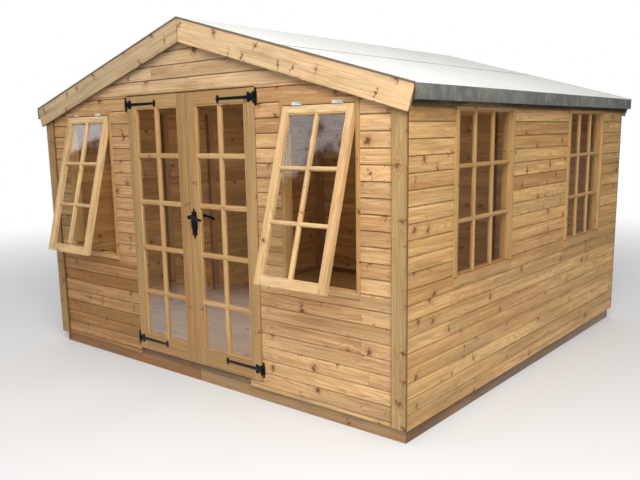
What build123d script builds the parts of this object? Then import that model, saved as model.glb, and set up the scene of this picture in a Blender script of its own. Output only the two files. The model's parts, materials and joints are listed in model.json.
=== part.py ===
"""Timber summerhouse, about 3 m square, with a shallow pitched felt roof, a pair of glazed doors
in the front, a top hung window on each side of them and two fixed windows in the right wall.

Units are millimetres. +Z is up, the front faces -Y and the right wall faces +X. The origin is on
the ground, at the middle of the plan, on the underside of the middle floor joist.
"""
from build123d import *
from math import cos, radians, sin, tan
import os

# Plan: outer faces of the cladding on all four walls.
plan_width = 3000
plan_depth = 3000

# Floor
rim_inset = 20
rim_height = 74
rim_thickness = 28
rim_joint_gap = 2
deck_thickness = 12
joist_width = 44
joist_bays = 10

# Wall timber
cladding_thickness = 14
stud_depth = 40
stud_width = 44
plate_thickness = 38
corner_board_width = 87
corner_board_thickness = 12
back_stud_bays = 6
left_stud_bays = 6

# Roof: its ridge is set by the height over the door head.
apex_over_door_head = 363
roof_pitch = 16
felt_thickness = 3
felt_edge_lip = 4
roof_board_thickness = 12
eave_overhang = 52
verge_overhang = 35
barge_depth = 130
barge_thickness = 16
barge_apex_gap = 1
fascia_depth = 75
fascia_thickness = 18
ridge_beam_width = 44
ridge_beam_depth = 95
purlin_width = 44
purlin_depth = 70
purlin_position = 0.5

# Doors
leaf_width = 546.5
leaf_bottom = 118
leaf_height = 1609
leaf_thickness = 32
leaf_proud = 4
leaf_gap = 5
leaf_edge_gap = 6
stile_width = 74
top_rail_height = 72
bottom_rail_height = 104
pane_thickness = 4
pane_rebate = 8
door_head_height = 44
stop_thickness = 20
stop_width = 15
stop_joint_gap = 1
foot_return = 100

# Strap hinges of the doors: a strap with a lobed root and a lobed bud on each leaf, and a pointed
# plate on the wall. Lobe angles are in degrees from the strap's own direction.
strap_top_inset = 48
strap_bottom_inset = 69
strap_length = 288
strap_thickness = 3.5
strap_arm_root = 8.5
strap_arm_tip = 7
strap_lobe_radius = 9
strap_root_lobe_reach = 39
strap_root_lobe_rise = 18
strap_root_lobe_angles = (150, -40)
strap_shoulder_reach = 18
strap_shoulder_height = 19
strap_arm_start = 52
strap_bud_length = 25
strap_bud_lobe_inset = 13
strap_bud_lobe_rise = 12
strap_bud_lobe_angles = (205, -45)
strap_tip_rise = 3
strap_tip_round = 1
knuckle_radius = 5.5
knuckle_length = 18
knuckle_gap = 0.5
pin_radius = 2.5
pin_clearance = 0.3
hinge_plate_gap = 1
hinge_plate_width = 20
hinge_plate_shoulder = 22
hinge_plate_neck = 40
hinge_plate_neck_width = 6
hinge_plate_bulb_radius = 6.5
hinge_plate_thickness = 3

# Lever handle, on both faces of the right leaf
handle_height = 978
handle_plate_length = 184
handle_plate_width = 54
handle_plate_thickness = 4
handle_point_width = 16
handle_point_root = 72
handle_barb_height = 64
handle_barb_reach = 24
handle_neck_height = 50
handle_neck_width = 38
handle_hollow = 1
lever_rise = 40
lever_length = 92
lever_straight = 26
lever_droop = 14
lever_bend_radius = 60
lever_radius = 8
lever_standoff = 38
lever_hub_radius = 12
lever_hub_reach = 46
rose_radius = 17
rose_thickness = 9
spindle_radius = 8

# Front windows: a fixed frame each, with a sash hung from its head and held open.
front_frame_inner_edge = 737
front_frame_width = 495
front_frame_bottom = 686
front_frame_drop = 75
front_frame_proud = 10
front_frame_thickness = 20
front_head_thickness = 28
front_sill_thickness = 27
front_sill_nosing = 6
front_sill_round = 5
sash_side_gap = 2
sash_top_gap = 3
sash_bottom_gap = 3
sash_thickness = 34
sash_stile_width = 38
sash_bottom_rail = 45
sash_open_left = 14.5
sash_open_right = 16
stay_width = 14
stay_thickness = 4
stay_peg_radius = 4
stay_peg_height = 14
stay_tail = 40
stay_clearance = 0.4
butt_spacing = 254
butt_length = 68
butt_leaf_width = 14
butt_leaf_return = 20
butt_leaf_thickness = 1.5
butt_knuckle_radius = 3.3
butt_standoff = 3.5

# Side windows: fixed, one in the middle of each half of the right wall, under the top plate.
side_window_centre = 748
side_frame_width = 664
side_frame_bottom = 705
side_frame_drop = 35
side_frame_proud = 12
side_sill_slope_drop = 8
side_jamb_thickness = 26
side_head_thickness = 40
side_sill_thickness = 50
side_pane_set_back = 12

os.makedirs("parts", exist_ok=True)

half_width = plan_width / 2
half_depth = plan_depth / 2
stud_face_x = half_width - cladding_thickness
stud_face_y = half_depth - cladding_thickness
stud_back_x = stud_face_x - stud_depth
stud_back_y = stud_face_y - stud_depth
rim_face_x = half_width - rim_inset
rim_face_y = half_depth - rim_inset
rim_back_x = rim_face_x - rim_thickness
rim_back_y = rim_face_y - rim_thickness
wall_base = rim_height
plate_top = wall_base + plate_thickness
joist_height = rim_height - deck_thickness

leaf_outer_edge = leaf_gap / 2 + leaf_width
jamb_face = leaf_outer_edge + leaf_edge_gap
leaf_top = leaf_bottom + leaf_height
opening_top = leaf_top + leaf_edge_gap
door_head_top = opening_top + door_head_height
apex_height = door_head_top + apex_over_door_head

slope = tan(radians(roof_pitch))
lean = cos(radians(roof_pitch))
eave_reach = half_width + eave_overhang
verge_reach = half_depth + verge_overhang
roof_end = verge_reach - barge_thickness
felt_drop = felt_thickness / lean
board_drop = roof_board_thickness / lean


def felt_line(x):
    """Height of the top of the roof felt, x from the ridge."""
    return apex_height - slope * abs(x)


def board_line(x):
    """Height of the top of the roof boards."""
    return felt_line(x) - felt_drop


def under_line(x):
    """Height of the underside of the roof boards, on which walls and plates end."""
    return board_line(x) - board_drop


def outline(*points):
    """A filled outline in the sketch that is open."""
    Polygon(*points, align=None)


def span(low, high, y_low, y_high, z_low, z_high):
    """A plain sawn timber between six faces."""
    middle = ((low + high) / 2, (y_low + y_high) / 2, (z_low + z_high) / 2)
    with Locations(middle):
        Box(high - low, y_high - y_low, z_high - z_low)


def wall_plane(y):
    """Upright plane facing the front, at this y. Its extrusions run toward the front."""
    return Plane.XZ.offset(-y)


# Floor: rim boards butted at the middle of each side, joists that run front to back, and a
# boarded deck between the rims.
with BuildPart() as rim_boards_ends:
    for side in (-1, 1):
        for start, end in ((-rim_face_x, -rim_joint_gap / 2), (rim_joint_gap / 2, rim_face_x)):
            edges = sorted((side * rim_back_y, side * rim_face_y))
            span(start, end, edges[0], edges[1], 0, rim_height)
rim_boards_ends.part.label = "rim_boards_ends"

with BuildPart() as rim_boards_sides:
    for side in (-1, 1):
        for start, end in ((-rim_back_y, -rim_joint_gap / 2), (rim_joint_gap / 2, rim_back_y)):
            edges = sorted((side * rim_back_x, side * rim_face_x))
            span(edges[0], edges[1], start, end, 0, rim_height)
rim_boards_sides.part.label = "rim_boards_sides"

outer_joist = rim_back_x - joist_width / 2
with BuildPart() as floor_joists:
    for bay in range(joist_bays + 1):
        middle = -outer_joist + 2 * outer_joist * bay / joist_bays
        span(middle - joist_width / 2, middle + joist_width / 2, -rim_back_y, rim_back_y, 0, joist_height)
floor_joists.part.label = "floor_joists"

with BuildPart() as floor_deck:
    span(-rim_back_x, rim_back_x, -rim_back_y, rim_back_y, joist_height, rim_height)
floor_deck.part.label = "floor_deck"

# Wall framing: plates laid on the floor, studs on them, and plates under the roof boards.
with BuildPart() as bottom_plates_ends:
    span(-stud_back_x, stud_back_x, -stud_face_y, -stud_back_y, wall_base, plate_top)
    span(-stud_back_x, stud_back_x, stud_back_y, stud_face_y, wall_base, plate_top)
bottom_plates_ends.part.label = "bottom_plates_ends"

with BuildPart() as bottom_plates_sides:
    span(-stud_face_x, -stud_back_x, -stud_face_y, stud_face_y, wall_base, plate_top)
    span(stud_back_x, stud_face_x, -stud_face_y, stud_face_y, wall_base, plate_top)
bottom_plates_sides.part.label = "bottom_plates_sides"

side_plate_base = under_line(stud_face_x) - plate_thickness
with BuildPart() as top_plates:
    for side in (-1, 1):
        with BuildSketch(Plane.XZ):
            outline(
                (side * stud_back_x, side_plate_base),
                (side * stud_face_x, side_plate_base),
                (side * stud_face_x, under_line(stud_face_x)),
                (side * stud_back_x, under_line(stud_back_x)),
            )
    extrude(amount=stud_face_y, both=True)
top_plates.part.label = "top_plates"

gable_plate_drop = plate_thickness / lean
beam_side = ridge_beam_width / 2
with BuildPart() as gable_plates:
    for y in (-stud_back_y, stud_face_y):
        with BuildSketch(wall_plane(y)):
            for side in (-1, 1):
                outline(
                    (side * beam_side, under_line(beam_side)),
                    (side * stud_back_x, under_line(stud_back_x)),
                    (side * stud_back_x, under_line(stud_back_x) - gable_plate_drop),
                    (side * beam_side, under_line(beam_side) - gable_plate_drop),
                )
        extrude(amount=stud_depth)
gable_plates.part.label = "gable_plates"

front_frame_outer_edge = front_frame_inner_edge + front_frame_width
front_frame_middle = front_frame_inner_edge + front_frame_width / 2
front_frame_top = leaf_top - front_frame_drop
side_frame_top = side_plate_base - side_frame_drop
beam_base = under_line(beam_side) - ridge_beam_depth


def gable_stud(low, high, base):
    """An end wall stud from base to the sloping plate, in the sketch that is open."""
    low_top = under_line(low) - gable_plate_drop
    high_top = under_line(high) - gable_plate_drop
    outline((low, base), (high, base), (high, high_top), (low, low_top))


front_stud_starts = (
    jamb_face,
    front_frame_inner_edge - stud_width,
    front_frame_outer_edge,
    stud_back_x - stud_width,
)
back_stud_pitch = (2 * stud_back_x - stud_width) / back_stud_bays
with BuildPart() as studs_ends:
    with BuildSketch(wall_plane(-stud_back_y)):
        for start in front_stud_starts:
            gable_stud(start, start + stud_width, plate_top)
            gable_stud(-start - stud_width, -start, plate_top)
        outline(
            (-beam_side, door_head_top),
            (beam_side, door_head_top),
            (beam_side, beam_base),
            (-beam_side, beam_base),
        )
    extrude(amount=stud_depth)
    with BuildSketch(wall_plane(stud_face_y)):
        for bay in range(back_stud_bays + 1):
            start = -stud_back_x + bay * back_stud_pitch
            if abs(start + stud_width / 2) > stud_width:
                gable_stud(start, start + stud_width, plate_top)
        outline(
            (-beam_side, plate_top),
            (beam_side, plate_top),
            (beam_side, beam_base),
            (-beam_side, beam_base),
        )
    extrude(amount=stud_depth)
studs_ends.part.label = "studs_ends"

side_window_half = side_frame_width / 2
window_stud_starts = (
    side_window_centre - side_window_half - stud_width,
    side_window_centre + side_window_half,
    stud_face_y - stud_width,
)
left_stud_pitch = (2 * stud_face_y - stud_width) / left_stud_bays
with BuildPart() as studs_sides:
    for bay in range(left_stud_bays + 1):
        start = -stud_face_y + bay * left_stud_pitch
        span(-stud_face_x, -stud_back_x, start, start + stud_width, plate_top, side_plate_base)
    for start in window_stud_starts:
        span(stud_back_x, stud_face_x, start, start + stud_width, plate_top, side_plate_base)
        span(stud_back_x, stud_face_x, -start - stud_width, -start, plate_top, side_plate_base)
studs_sides.part.label = "studs_sides"

trimmer_thickness = plate_thickness
with BuildPart() as window_trimmers:
    for side in (-1, 1):
        low, high = sorted((side * front_frame_inner_edge, side * front_frame_outer_edge))
        for base in (front_frame_bottom - trimmer_thickness, front_frame_top):
            span(low, high, -stud_face_y, -stud_back_y, base, base + trimmer_thickness)
        low = side * side_window_centre - side_window_half
        high = side * side_window_centre + side_window_half
        span(stud_back_x, stud_face_x, low, high, side_frame_bottom - trimmer_thickness, side_frame_bottom)
        span(stud_back_x, stud_face_x, low, high, side_frame_top, side_plate_base)
window_trimmers.part.label = "window_trimmers"

with BuildPart() as door_head:
    span(-jamb_face, jamb_face, -stud_face_y, -stud_back_y, opening_top, door_head_top)
door_head.part.label = "door_head"

leaf_face = half_depth + leaf_proud
leaf_back = leaf_face - leaf_thickness
stop_face = leaf_back - leaf_edge_gap
stop_back = stop_face - stop_thickness
stop_edge = jamb_face - stop_width
with BuildPart() as door_stops:
    span(-jamb_face, -stop_edge, -stop_face, -stop_back, plate_top, opening_top)
    span(stop_edge, jamb_face, -stop_face, -stop_back, plate_top, opening_top)
    head_stop_end = stop_edge - stop_joint_gap
    span(-head_stop_end, head_stop_end, -stop_face, -stop_back, opening_top - stop_width, opening_top)
door_stops.part.label = "door_stops"

# Cladding, drawn as one skin a wall. The front wall is in three: beside the doors on each side,
# and the gable above them.
with BuildPart() as front_wall_left:
    with BuildSketch(wall_plane(-stud_face_y)):
        outline(
            (-stud_face_x, wall_base),
            (-jamb_face, wall_base),
            (-jamb_face, under_line(jamb_face)),
            (-stud_face_x, under_line(stud_face_x)),
        )
        with Locations((-front_frame_middle, (front_frame_bottom + front_frame_top) / 2)):
            Rectangle(front_frame_width, front_frame_top - front_frame_bottom, mode=Mode.SUBTRACT)
    extrude(amount=cladding_thickness)
front_wall_left.part.label = "front_wall_left"

foot_top = leaf_bottom - leaf_edge_gap
with BuildPart() as front_wall_right:
    with BuildSketch(wall_plane(-stud_face_y)):
        outline(
            (jamb_face - foot_return, wall_base),
            (stud_face_x, wall_base),
            (stud_face_x, under_line(stud_face_x)),
            (jamb_face, under_line(jamb_face)),
            (jamb_face, foot_top),
            (jamb_face - foot_return, foot_top),
        )
        with Locations((front_frame_middle, (front_frame_bottom + front_frame_top) / 2)):
            Rectangle(front_frame_width, front_frame_top - front_frame_bottom, mode=Mode.SUBTRACT)
    extrude(amount=cladding_thickness)
front_wall_right.part.label = "front_wall_right"

with BuildPart() as front_gable:
    with BuildSketch(wall_plane(-stud_face_y)):
        outline(
            (-jamb_face, opening_top),
            (jamb_face, opening_top),
            (jamb_face, under_line(jamb_face)),
            (0, under_line(0)),
            (-jamb_face, under_line(jamb_face)),
        )
    extrude(amount=cladding_thickness)
front_gable.part.label = "front_gable"

with BuildPart() as back_wall:
    with BuildSketch(wall_plane(half_depth)):
        outline(
            (-stud_face_x, wall_base),
            (stud_face_x, wall_base),
            (stud_face_x, under_line(stud_face_x)),
            (0, under_line(0)),
            (-stud_face_x, under_line(stud_face_x)),
        )
    extrude(amount=cladding_thickness)
back_wall.part.label = "back_wall"


def side_skin(side):
    """Section of a side wall's cladding, from the floor to the underside of the roof boards."""
    outline(
        (side * stud_face_x, wall_base),
        (side * half_width, wall_base),
        (side * half_width, under_line(half_width)),
        (side * stud_face_x, under_line(stud_face_x)),
    )


with BuildPart() as left_wall:
    with BuildSketch(Plane.XZ):
        side_skin(-1)
    extrude(amount=half_depth, both=True)
left_wall.part.label = "left_wall"

side_frame_height = side_frame_top - side_frame_bottom
side_frame_middle = (side_frame_top + side_frame_bottom) / 2
with BuildPart() as right_wall:
    with BuildSketch(Plane.XZ):
        side_skin(1)
    extrude(amount=half_depth, both=True)
    with BuildSketch(Plane.YZ.offset(stud_face_x)):
        with Locations(*[(side * side_window_centre, side_frame_middle) for side in (-1, 1)]):
            Rectangle(side_frame_width, side_frame_height)
    extrude(amount=cladding_thickness, mode=Mode.SUBTRACT)
right_wall.part.label = "right_wall"

with BuildPart() as corner_boards:
    for y in (-half_depth, half_depth + corner_board_thickness):
        with BuildSketch(wall_plane(y)):
            for side in (-1, 1):
                inner = half_width - corner_board_width
                outline(
                    (side * inner, wall_base),
                    (side * half_width, wall_base),
                    (side * half_width, under_line(half_width)),
                    (side * inner, under_line(inner)),
                )
        extrude(amount=corner_board_thickness)
corner_boards.part.label = "corner_boards"

# Doors: framed leaves with one sheet of glass each, in a rebate round the frame.
handle_x = leaf_gap / 2 + stile_width / 2
lever_height = handle_height + lever_rise
leaf_parts = []
glass_parts = []
for name, side in (("door_left", -1), ("door_right", 1)):
    middle = side * (leaf_gap / 2 + leaf_width / 2)
    opening_width = leaf_width - 2 * stile_width
    opening_height = leaf_height - top_rail_height - bottom_rail_height
    opening_middle = leaf_bottom + bottom_rail_height + opening_height / 2
    pane_back = leaf_back + (leaf_thickness - pane_thickness) / 2
    with BuildPart() as leaf:
        with BuildSketch(wall_plane(-leaf_back)):
            with Locations((middle, leaf_bottom + leaf_height / 2)):
                Rectangle(leaf_width, leaf_height)
            with Locations((middle, opening_middle)):
                Rectangle(opening_width, opening_height, mode=Mode.SUBTRACT)
        extrude(amount=leaf_thickness)
        with BuildSketch(wall_plane(-pane_back)):
            with Locations((middle, opening_middle)):
                Rectangle(opening_width + 2 * pane_rebate, opening_height + 2 * pane_rebate)
        extrude(amount=pane_thickness, mode=Mode.SUBTRACT)
        if side > 0:
            spindle = Plane(origin=(handle_x, -leaf_face, lever_height), z_dir=(0, -1, 0))
            with Locations(spindle):
                Hole(spindle_radius + pin_clearance)
    leaf.part.label = name
    leaf_parts.append(leaf)
    with BuildPart() as glass:
        with BuildSketch(wall_plane(-pane_back)):
            with Locations((middle, opening_middle)):
                Rectangle(opening_width + 2 * pane_rebate, opening_height + 2 * pane_rebate)
        extrude(amount=pane_thickness)
    glass.part.label = name + "_glass"
    glass_parts.append(glass)

# Strap hinges: a plate on the wall with two knuckles and the pin, and a strap on the leaf with
# the middle knuckle. The outline of a strap runs along +X from its pin: a root with a round lobe
# on each side, a tapered arm, and a bud with two smaller lobes and a blunt tip.
pin_x = leaf_outer_edge + leaf_edge_gap / 2
pin_y = leaf_face + knuckle_radius
strap_heights = (leaf_bottom + strap_bottom_inset, leaf_top - strap_top_inset)
strap_neck = knuckle_length / 2
strap_root_lobe = (strap_root_lobe_reach, strap_root_lobe_rise)
strap_bud_lobe = (strap_length - strap_bud_lobe_inset, strap_bud_lobe_rise)


def lobe_points(middle, angles):
    """Start, halfway point and end of a lobe's round edge."""
    start, end = angles
    return [
        (
            middle[0] + strap_lobe_radius * cos(radians(angle)),
            middle[1] + strap_lobe_radius * sin(radians(angle)),
        )
        for angle in (start, (start + end) / 2, end)
    ]


with BuildSketch() as strap_outline:
    with BuildLine():
        root_lobe = lobe_points(strap_root_lobe, strap_root_lobe_angles)
        bud_lobe = lobe_points(strap_bud_lobe, strap_bud_lobe_angles)
        shoulder_start = (2 * knuckle_radius, strap_neck)
        Polyline((0, 0), (0, strap_neck), shoulder_start)
        ThreePointArc(shoulder_start, (strap_shoulder_reach, strap_shoulder_height), root_lobe[0])
        ThreePointArc(*root_lobe)
        Polyline(
            root_lobe[2],
            (strap_arm_start, strap_arm_root),
            (strap_length - strap_bud_length, strap_arm_tip),
            bud_lobe[0],
        )
        ThreePointArc(*bud_lobe)
        tip_cheek = (strap_length - strap_tip_round, strap_tip_rise)
        ThreePointArc(bud_lobe[2], tip_cheek, (strap_length, 0))
        Line((strap_length, 0), (0, 0))
    make_face()
    mirror(about=Plane.XZ)

strap_parts = []
for name, side in (("door_left_straps", -1), ("door_right_straps", 1)):
    turn = 90 + 90 * side
    with BuildPart() as straps:
        for height in strap_heights:
            with BuildSketch(wall_plane(-leaf_face)):
                with Locations(Location((side * pin_x, height, 0), (0, 0, turn))):
                    add(strap_outline.sketch)
            extrude(amount=strap_thickness)
            with Locations((side * pin_x, -pin_y, height)):
                Cylinder(knuckle_radius, knuckle_length)
                Cylinder(pin_radius + pin_clearance, knuckle_length, mode=Mode.SUBTRACT)
    straps.part.label = name
    strap_parts.append(straps)

plate_inner = pin_x + hinge_plate_gap
plate_middle = plate_inner + hinge_plate_width / 2
plate_outer = plate_inner + hinge_plate_width
plate_neck_inner = plate_middle - hinge_plate_neck_width / 2
plate_neck_outer = plate_middle + hinge_plate_neck_width / 2
knuckle_rise = knuckle_length + knuckle_gap
with BuildPart() as hinge_plates:
    for side in (-1, 1):
        for height in strap_heights:
            with BuildSketch(wall_plane(-half_depth)):
                outline(
                    (side * plate_inner, height - hinge_plate_shoulder),
                    (side * plate_inner, height + hinge_plate_shoulder),
                    (side * plate_neck_inner, height + hinge_plate_neck),
                    (side * plate_neck_outer, height + hinge_plate_neck),
                    (side * plate_outer, height + hinge_plate_shoulder),
                    (side * plate_outer, height - hinge_plate_shoulder),
                    (side * plate_neck_outer, height - hinge_plate_neck),
                    (side * plate_neck_inner, height - hinge_plate_neck),
                )
                with Locations(*[(side * plate_middle, height + end * hinge_plate_neck) for end in (-1, 1)]):
                    Circle(hinge_plate_bulb_radius)
            extrude(amount=hinge_plate_thickness)
            for end in (-1, 1):
                base = height + end * knuckle_rise - knuckle_length / 2
                with BuildSketch(Plane.XY.offset(base)):
                    with Locations((side * pin_x, -pin_y)):
                        Circle(knuckle_radius)
                    outline(
                        (side * pin_x, -pin_y - knuckle_radius / 2),
                        (side * plate_middle, -half_depth - hinge_plate_thickness),
                        (side * plate_middle, -half_depth),
                        (side * plate_inner, -half_depth),
                        (side * pin_x, -pin_y + knuckle_radius / 2),
                    )
                extrude(amount=knuckle_length)
            with Locations((side * pin_x, -pin_y, height)):
                Cylinder(pin_radius, 2 * knuckle_rise)
hinge_plates.part.label = "hinge_plates"

# Lever handle: a back plate with barbed points, a rose, a hub and a drooping lever on each face of
# the right leaf, and the spindle that joins the levers through the stile.
with BuildSketch() as handle_outline:
    with BuildLine():
        tip = handle_plate_length / 2
        for end in (-1, 1):
            barb = (handle_barb_reach, end * handle_barb_height)
            neck = (handle_neck_width / 2, end * handle_neck_height)
            hollow = (neck[0] + handle_hollow, (barb[1] + neck[1]) / 2)
            Polyline((0, end * tip), (handle_point_width / 2, end * handle_point_root), barb)
            ThreePointArc(barb, hollow, neck)
        ThreePointArc(
            (handle_neck_width / 2, handle_neck_height),
            (handle_plate_width / 2, 0),
            (handle_neck_width / 2, -handle_neck_height),
        )
        Line((0, -tip), (0, tip))
    make_face()
    mirror(about=Plane.YZ)

with BuildPart() as door_handle:
    for face, way in ((leaf_face, 1), (leaf_back, -1)):
        with BuildSketch(wall_plane(-face)):
            with Locations((handle_x, handle_height)):
                add(handle_outline.sketch)
        extrude(amount=way * handle_plate_thickness)
        with BuildSketch(wall_plane(-face)):
            with Locations((handle_x, lever_height)):
                Circle(rose_radius)
        extrude(amount=way * (handle_plate_thickness + rose_thickness))
        with BuildSketch(wall_plane(-face)):
            with Locations((handle_x, lever_height)):
                Circle(lever_hub_radius)
        extrude(amount=way * lever_hub_reach)
        with BuildLine(wall_plane(-face - way * lever_standoff)) as lever_path:
            FilletPolyline(
                (handle_x, lever_height),
                (handle_x + lever_straight, lever_height),
                (handle_x + lever_length, lever_height - lever_droop),
                radius=lever_bend_radius,
            )
        with BuildSketch(Plane(origin=lever_path.line @ 0, z_dir=lever_path.line % 0)):
            Circle(lever_radius)
        sweep()
    with Locations((handle_x, -(leaf_face + leaf_back) / 2, lever_height)):
        Cylinder(spindle_radius, leaf_thickness + 2 * lever_standoff, rotation=(90, 0, 0))
door_handle.part.label = "door_handle"

# Front windows
front_frame_face = half_depth + front_frame_proud
front_sill_top = front_frame_bottom + front_sill_thickness
with BuildPart() as front_window_frames:
    with BuildSketch(wall_plane(-stud_back_y)):
        for side in (-1, 1):
            with Locations((side * front_frame_middle, (front_sill_top + front_frame_top) / 2)):
                Rectangle(front_frame_width, front_frame_top - front_sill_top)
            clear_height = front_frame_top - front_head_thickness - front_sill_top
            with Locations((side * front_frame_middle, front_sill_top + clear_height / 2)):
                Rectangle(front_frame_width - 2 * front_frame_thickness, clear_height, mode=Mode.SUBTRACT)
    extrude(amount=front_frame_face - stud_back_y)
    for side in (-1, 1):
        with BuildSketch(Plane.YZ.offset(side * front_frame_middle - front_frame_width / 2)) as sill:
            outline(
                (-stud_back_y, front_frame_bottom),
                (-stud_back_y, front_sill_top),
                (-front_frame_face - front_sill_nosing, front_sill_top),
                (-front_frame_face - front_sill_nosing, front_frame_bottom),
            )
            fillet(sill.vertices().group_by(Axis.X)[0], radius=front_sill_round)
        extrude(amount=front_frame_width)
front_window_frames.part.label = "front_window_frames"

sash_width = front_frame_width - 2 * front_frame_thickness - 2 * sash_side_gap
sash_hang = front_frame_top - front_head_thickness
sash_length = sash_hang - front_sill_top - sash_top_gap - sash_bottom_gap
sash_glass_width = sash_width - 2 * sash_stile_width
sash_glass_height = sash_length - sash_stile_width - sash_bottom_rail
sash_glass_middle = -sash_top_gap - sash_stile_width - sash_glass_height / 2


def sash_plane(side, depth):
    """Plane of an open sash, its normal outward, this deep behind the sash's face. Its origin is
    level with the hinge knuckles, on which the sash turns."""
    angle = radians(sash_open_left if side < 0 else sash_open_right)
    outward = Vector(0, -cos(angle), sin(angle))
    knuckle = Vector(side * front_frame_middle, -front_frame_face - butt_standoff, sash_hang)
    return Plane(origin=knuckle - outward * (butt_standoff + depth), x_dir=(1, 0, 0), z_dir=outward)


with BuildPart() as front_window_sashes:
    for side in (-1, 1):
        with BuildSketch(sash_plane(side, sash_thickness)):
            with Locations((0, -sash_top_gap - sash_length / 2)):
                Rectangle(sash_width, sash_length)
            with Locations((0, sash_glass_middle)):
                Rectangle(sash_glass_width, sash_glass_height, mode=Mode.SUBTRACT)
        extrude(amount=sash_thickness)
        with BuildSketch(sash_plane(side, (sash_thickness + pane_thickness) / 2)):
            with Locations((0, sash_glass_middle)):
                Rectangle(sash_glass_width + 2 * pane_rebate, sash_glass_height + 2 * pane_rebate)
        extrude(amount=pane_thickness, mode=Mode.SUBTRACT)
front_window_sashes.part.label = "front_window_sashes"

with BuildPart() as front_window_glass:
    for side in (-1, 1):
        with BuildSketch(sash_plane(side, (sash_thickness + pane_thickness) / 2)):
            with Locations((0, sash_glass_middle)):
                Rectangle(sash_glass_width + 2 * pane_rebate, sash_glass_height + 2 * pane_rebate)
        extrude(amount=pane_thickness)
front_window_glass.part.label = "front_window_glass"

# Butt hinges of the sashes: one leaf up the frame's head, one back over the sash's top edge.
with BuildPart() as sash_hinges:
    for side in (-1, 1):
        for offset in (-butt_spacing / 2, butt_spacing / 2):
            middle = side * front_frame_middle + offset
            with Locations((middle, -front_frame_face - butt_standoff, sash_hang)):
                Cylinder(butt_knuckle_radius, butt_length, rotation=(0, 90, 0))
            with BuildSketch(wall_plane(-front_frame_face)):
                with Locations((middle, sash_hang + butt_leaf_width / 2)):
                    Rectangle(butt_length, butt_leaf_width)
            extrude(amount=butt_leaf_thickness)
            with BuildSketch(sash_plane(side, butt_leaf_return)):
                with Locations((offset, -sash_top_gap + butt_leaf_thickness / 2)):
                    Rectangle(butt_length, butt_leaf_thickness)
            extrude(amount=butt_leaf_return + butt_standoff)
sash_hinges.part.label = "sash_hinges"

# Stays: a bar from the bottom rail of each sash to a peg on its sill.
with BuildPart() as window_stays:
    for side in (-1, 1):
        rail = sash_plane(side, sash_thickness + stay_clearance)
        start = rail.from_local_coords(Vector(0, -sash_top_gap - sash_length + sash_bottom_rail / 2, 0))
        peg_y = -stud_face_y + stud_depth / 2
        peg_z = front_sill_top + stay_peg_height / 2
        run = Vector(0, peg_y - start.Y, peg_z - start.Z).normalized()
        rise = Vector(0, -run.Z, run.Y)
        end = Vector(0, peg_y, peg_z) + run * stay_tail
        near = Vector(0, start.Y, start.Z)
        with BuildSketch(Plane.YZ.offset(side * front_frame_middle - stay_width / 2)):
            corners = [
                near + rise * stay_thickness / 2,
                end + rise * stay_thickness / 2,
                end - rise * stay_thickness / 2,
                near - rise * stay_thickness / 2,
            ]
            outline(*[(corner.Y, corner.Z) for corner in corners])
        extrude(amount=stay_width)
        with BuildSketch(Plane.XY.offset(front_sill_top)):
            with Locations((side * front_frame_middle, peg_y)):
                Circle(stay_peg_radius)
        extrude(amount=stay_peg_height)
        with BuildSketch(rail):
            with Locations((0, -sash_top_gap - sash_length + sash_bottom_rail / 2)):
                Rectangle(2 * stay_width, stay_width)
        extrude(amount=-stay_thickness)
window_stays.part.label = "window_stays"

# Side windows
side_clear_width = side_frame_width - 2 * side_jamb_thickness
side_clear_height = side_frame_height - side_head_thickness - side_sill_thickness
side_clear_middle = side_frame_bottom + side_sill_thickness + side_clear_height / 2
side_pane_face = half_width - side_pane_set_back
side_frame_face = half_width + side_frame_proud
with BuildPart() as side_window_frames:
    with BuildSketch(Plane.YZ.offset(stud_back_x)):
        for side in (-1, 1):
            with Locations((side * side_window_centre, side_frame_middle)):
                Rectangle(side_frame_width, side_frame_height)
            with Locations((side * side_window_centre, side_clear_middle)):
                Rectangle(side_clear_width, side_clear_height, mode=Mode.SUBTRACT)
    extrude(amount=side_frame_face - stud_back_x)
    with BuildSketch(Plane.YZ.offset(side_pane_face - pane_thickness)):
        for side in (-1, 1):
            with Locations((side * side_window_centre, side_clear_middle)):
                Rectangle(side_clear_width + 2 * pane_rebate, side_clear_height + 2 * pane_rebate)
    extrude(amount=pane_thickness, mode=Mode.SUBTRACT)
    for side in (-1, 1):
        with BuildSketch(wall_plane(side * side_window_centre + side_clear_width / 2)):
            outline(
                (side_pane_face, side_frame_bottom + side_sill_thickness),
                (side_frame_face, side_frame_bottom + side_sill_thickness),
                (side_frame_face, side_frame_bottom + side_sill_thickness - side_sill_slope_drop),
            )
        extrude(amount=side_clear_width, mode=Mode.SUBTRACT)
side_window_frames.part.label = "side_window_frames"

with BuildPart() as side_window_glass:
    with BuildSketch(Plane.YZ.offset(side_pane_face - pane_thickness)):
        for side in (-1, 1):
            with Locations((side * side_window_centre, side_clear_middle)):
                Rectangle(side_clear_width + 2 * pane_rebate, side_clear_height + 2 * pane_rebate)
    extrude(amount=pane_thickness)
side_window_glass.part.label = "side_window_glass"

# Roof
with BuildPart() as ridge_beam:
    with BuildSketch(Plane.XZ):
        outline(
            (-beam_side, beam_base),
            (beam_side, beam_base),
            (beam_side, under_line(beam_side)),
            (0, under_line(0)),
            (-beam_side, under_line(beam_side)),
        )
    extrude(amount=stud_face_y, both=True)
ridge_beam.part.label = "ridge_beam"

purlin_middle = purlin_position * stud_back_x
with BuildPart() as purlins:
    with BuildSketch(Plane.XZ):
        for side in (-1, 1):
            inner = purlin_middle - purlin_width / 2
            outer = purlin_middle + purlin_width / 2
            outline(
                (side * inner, under_line(inner)),
                (side * outer, under_line(outer)),
                (side * outer, under_line(outer) - purlin_depth),
                (side * inner, under_line(inner) - purlin_depth),
            )
    extrude(amount=stud_back_y, both=True)
purlins.part.label = "purlins"

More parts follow.
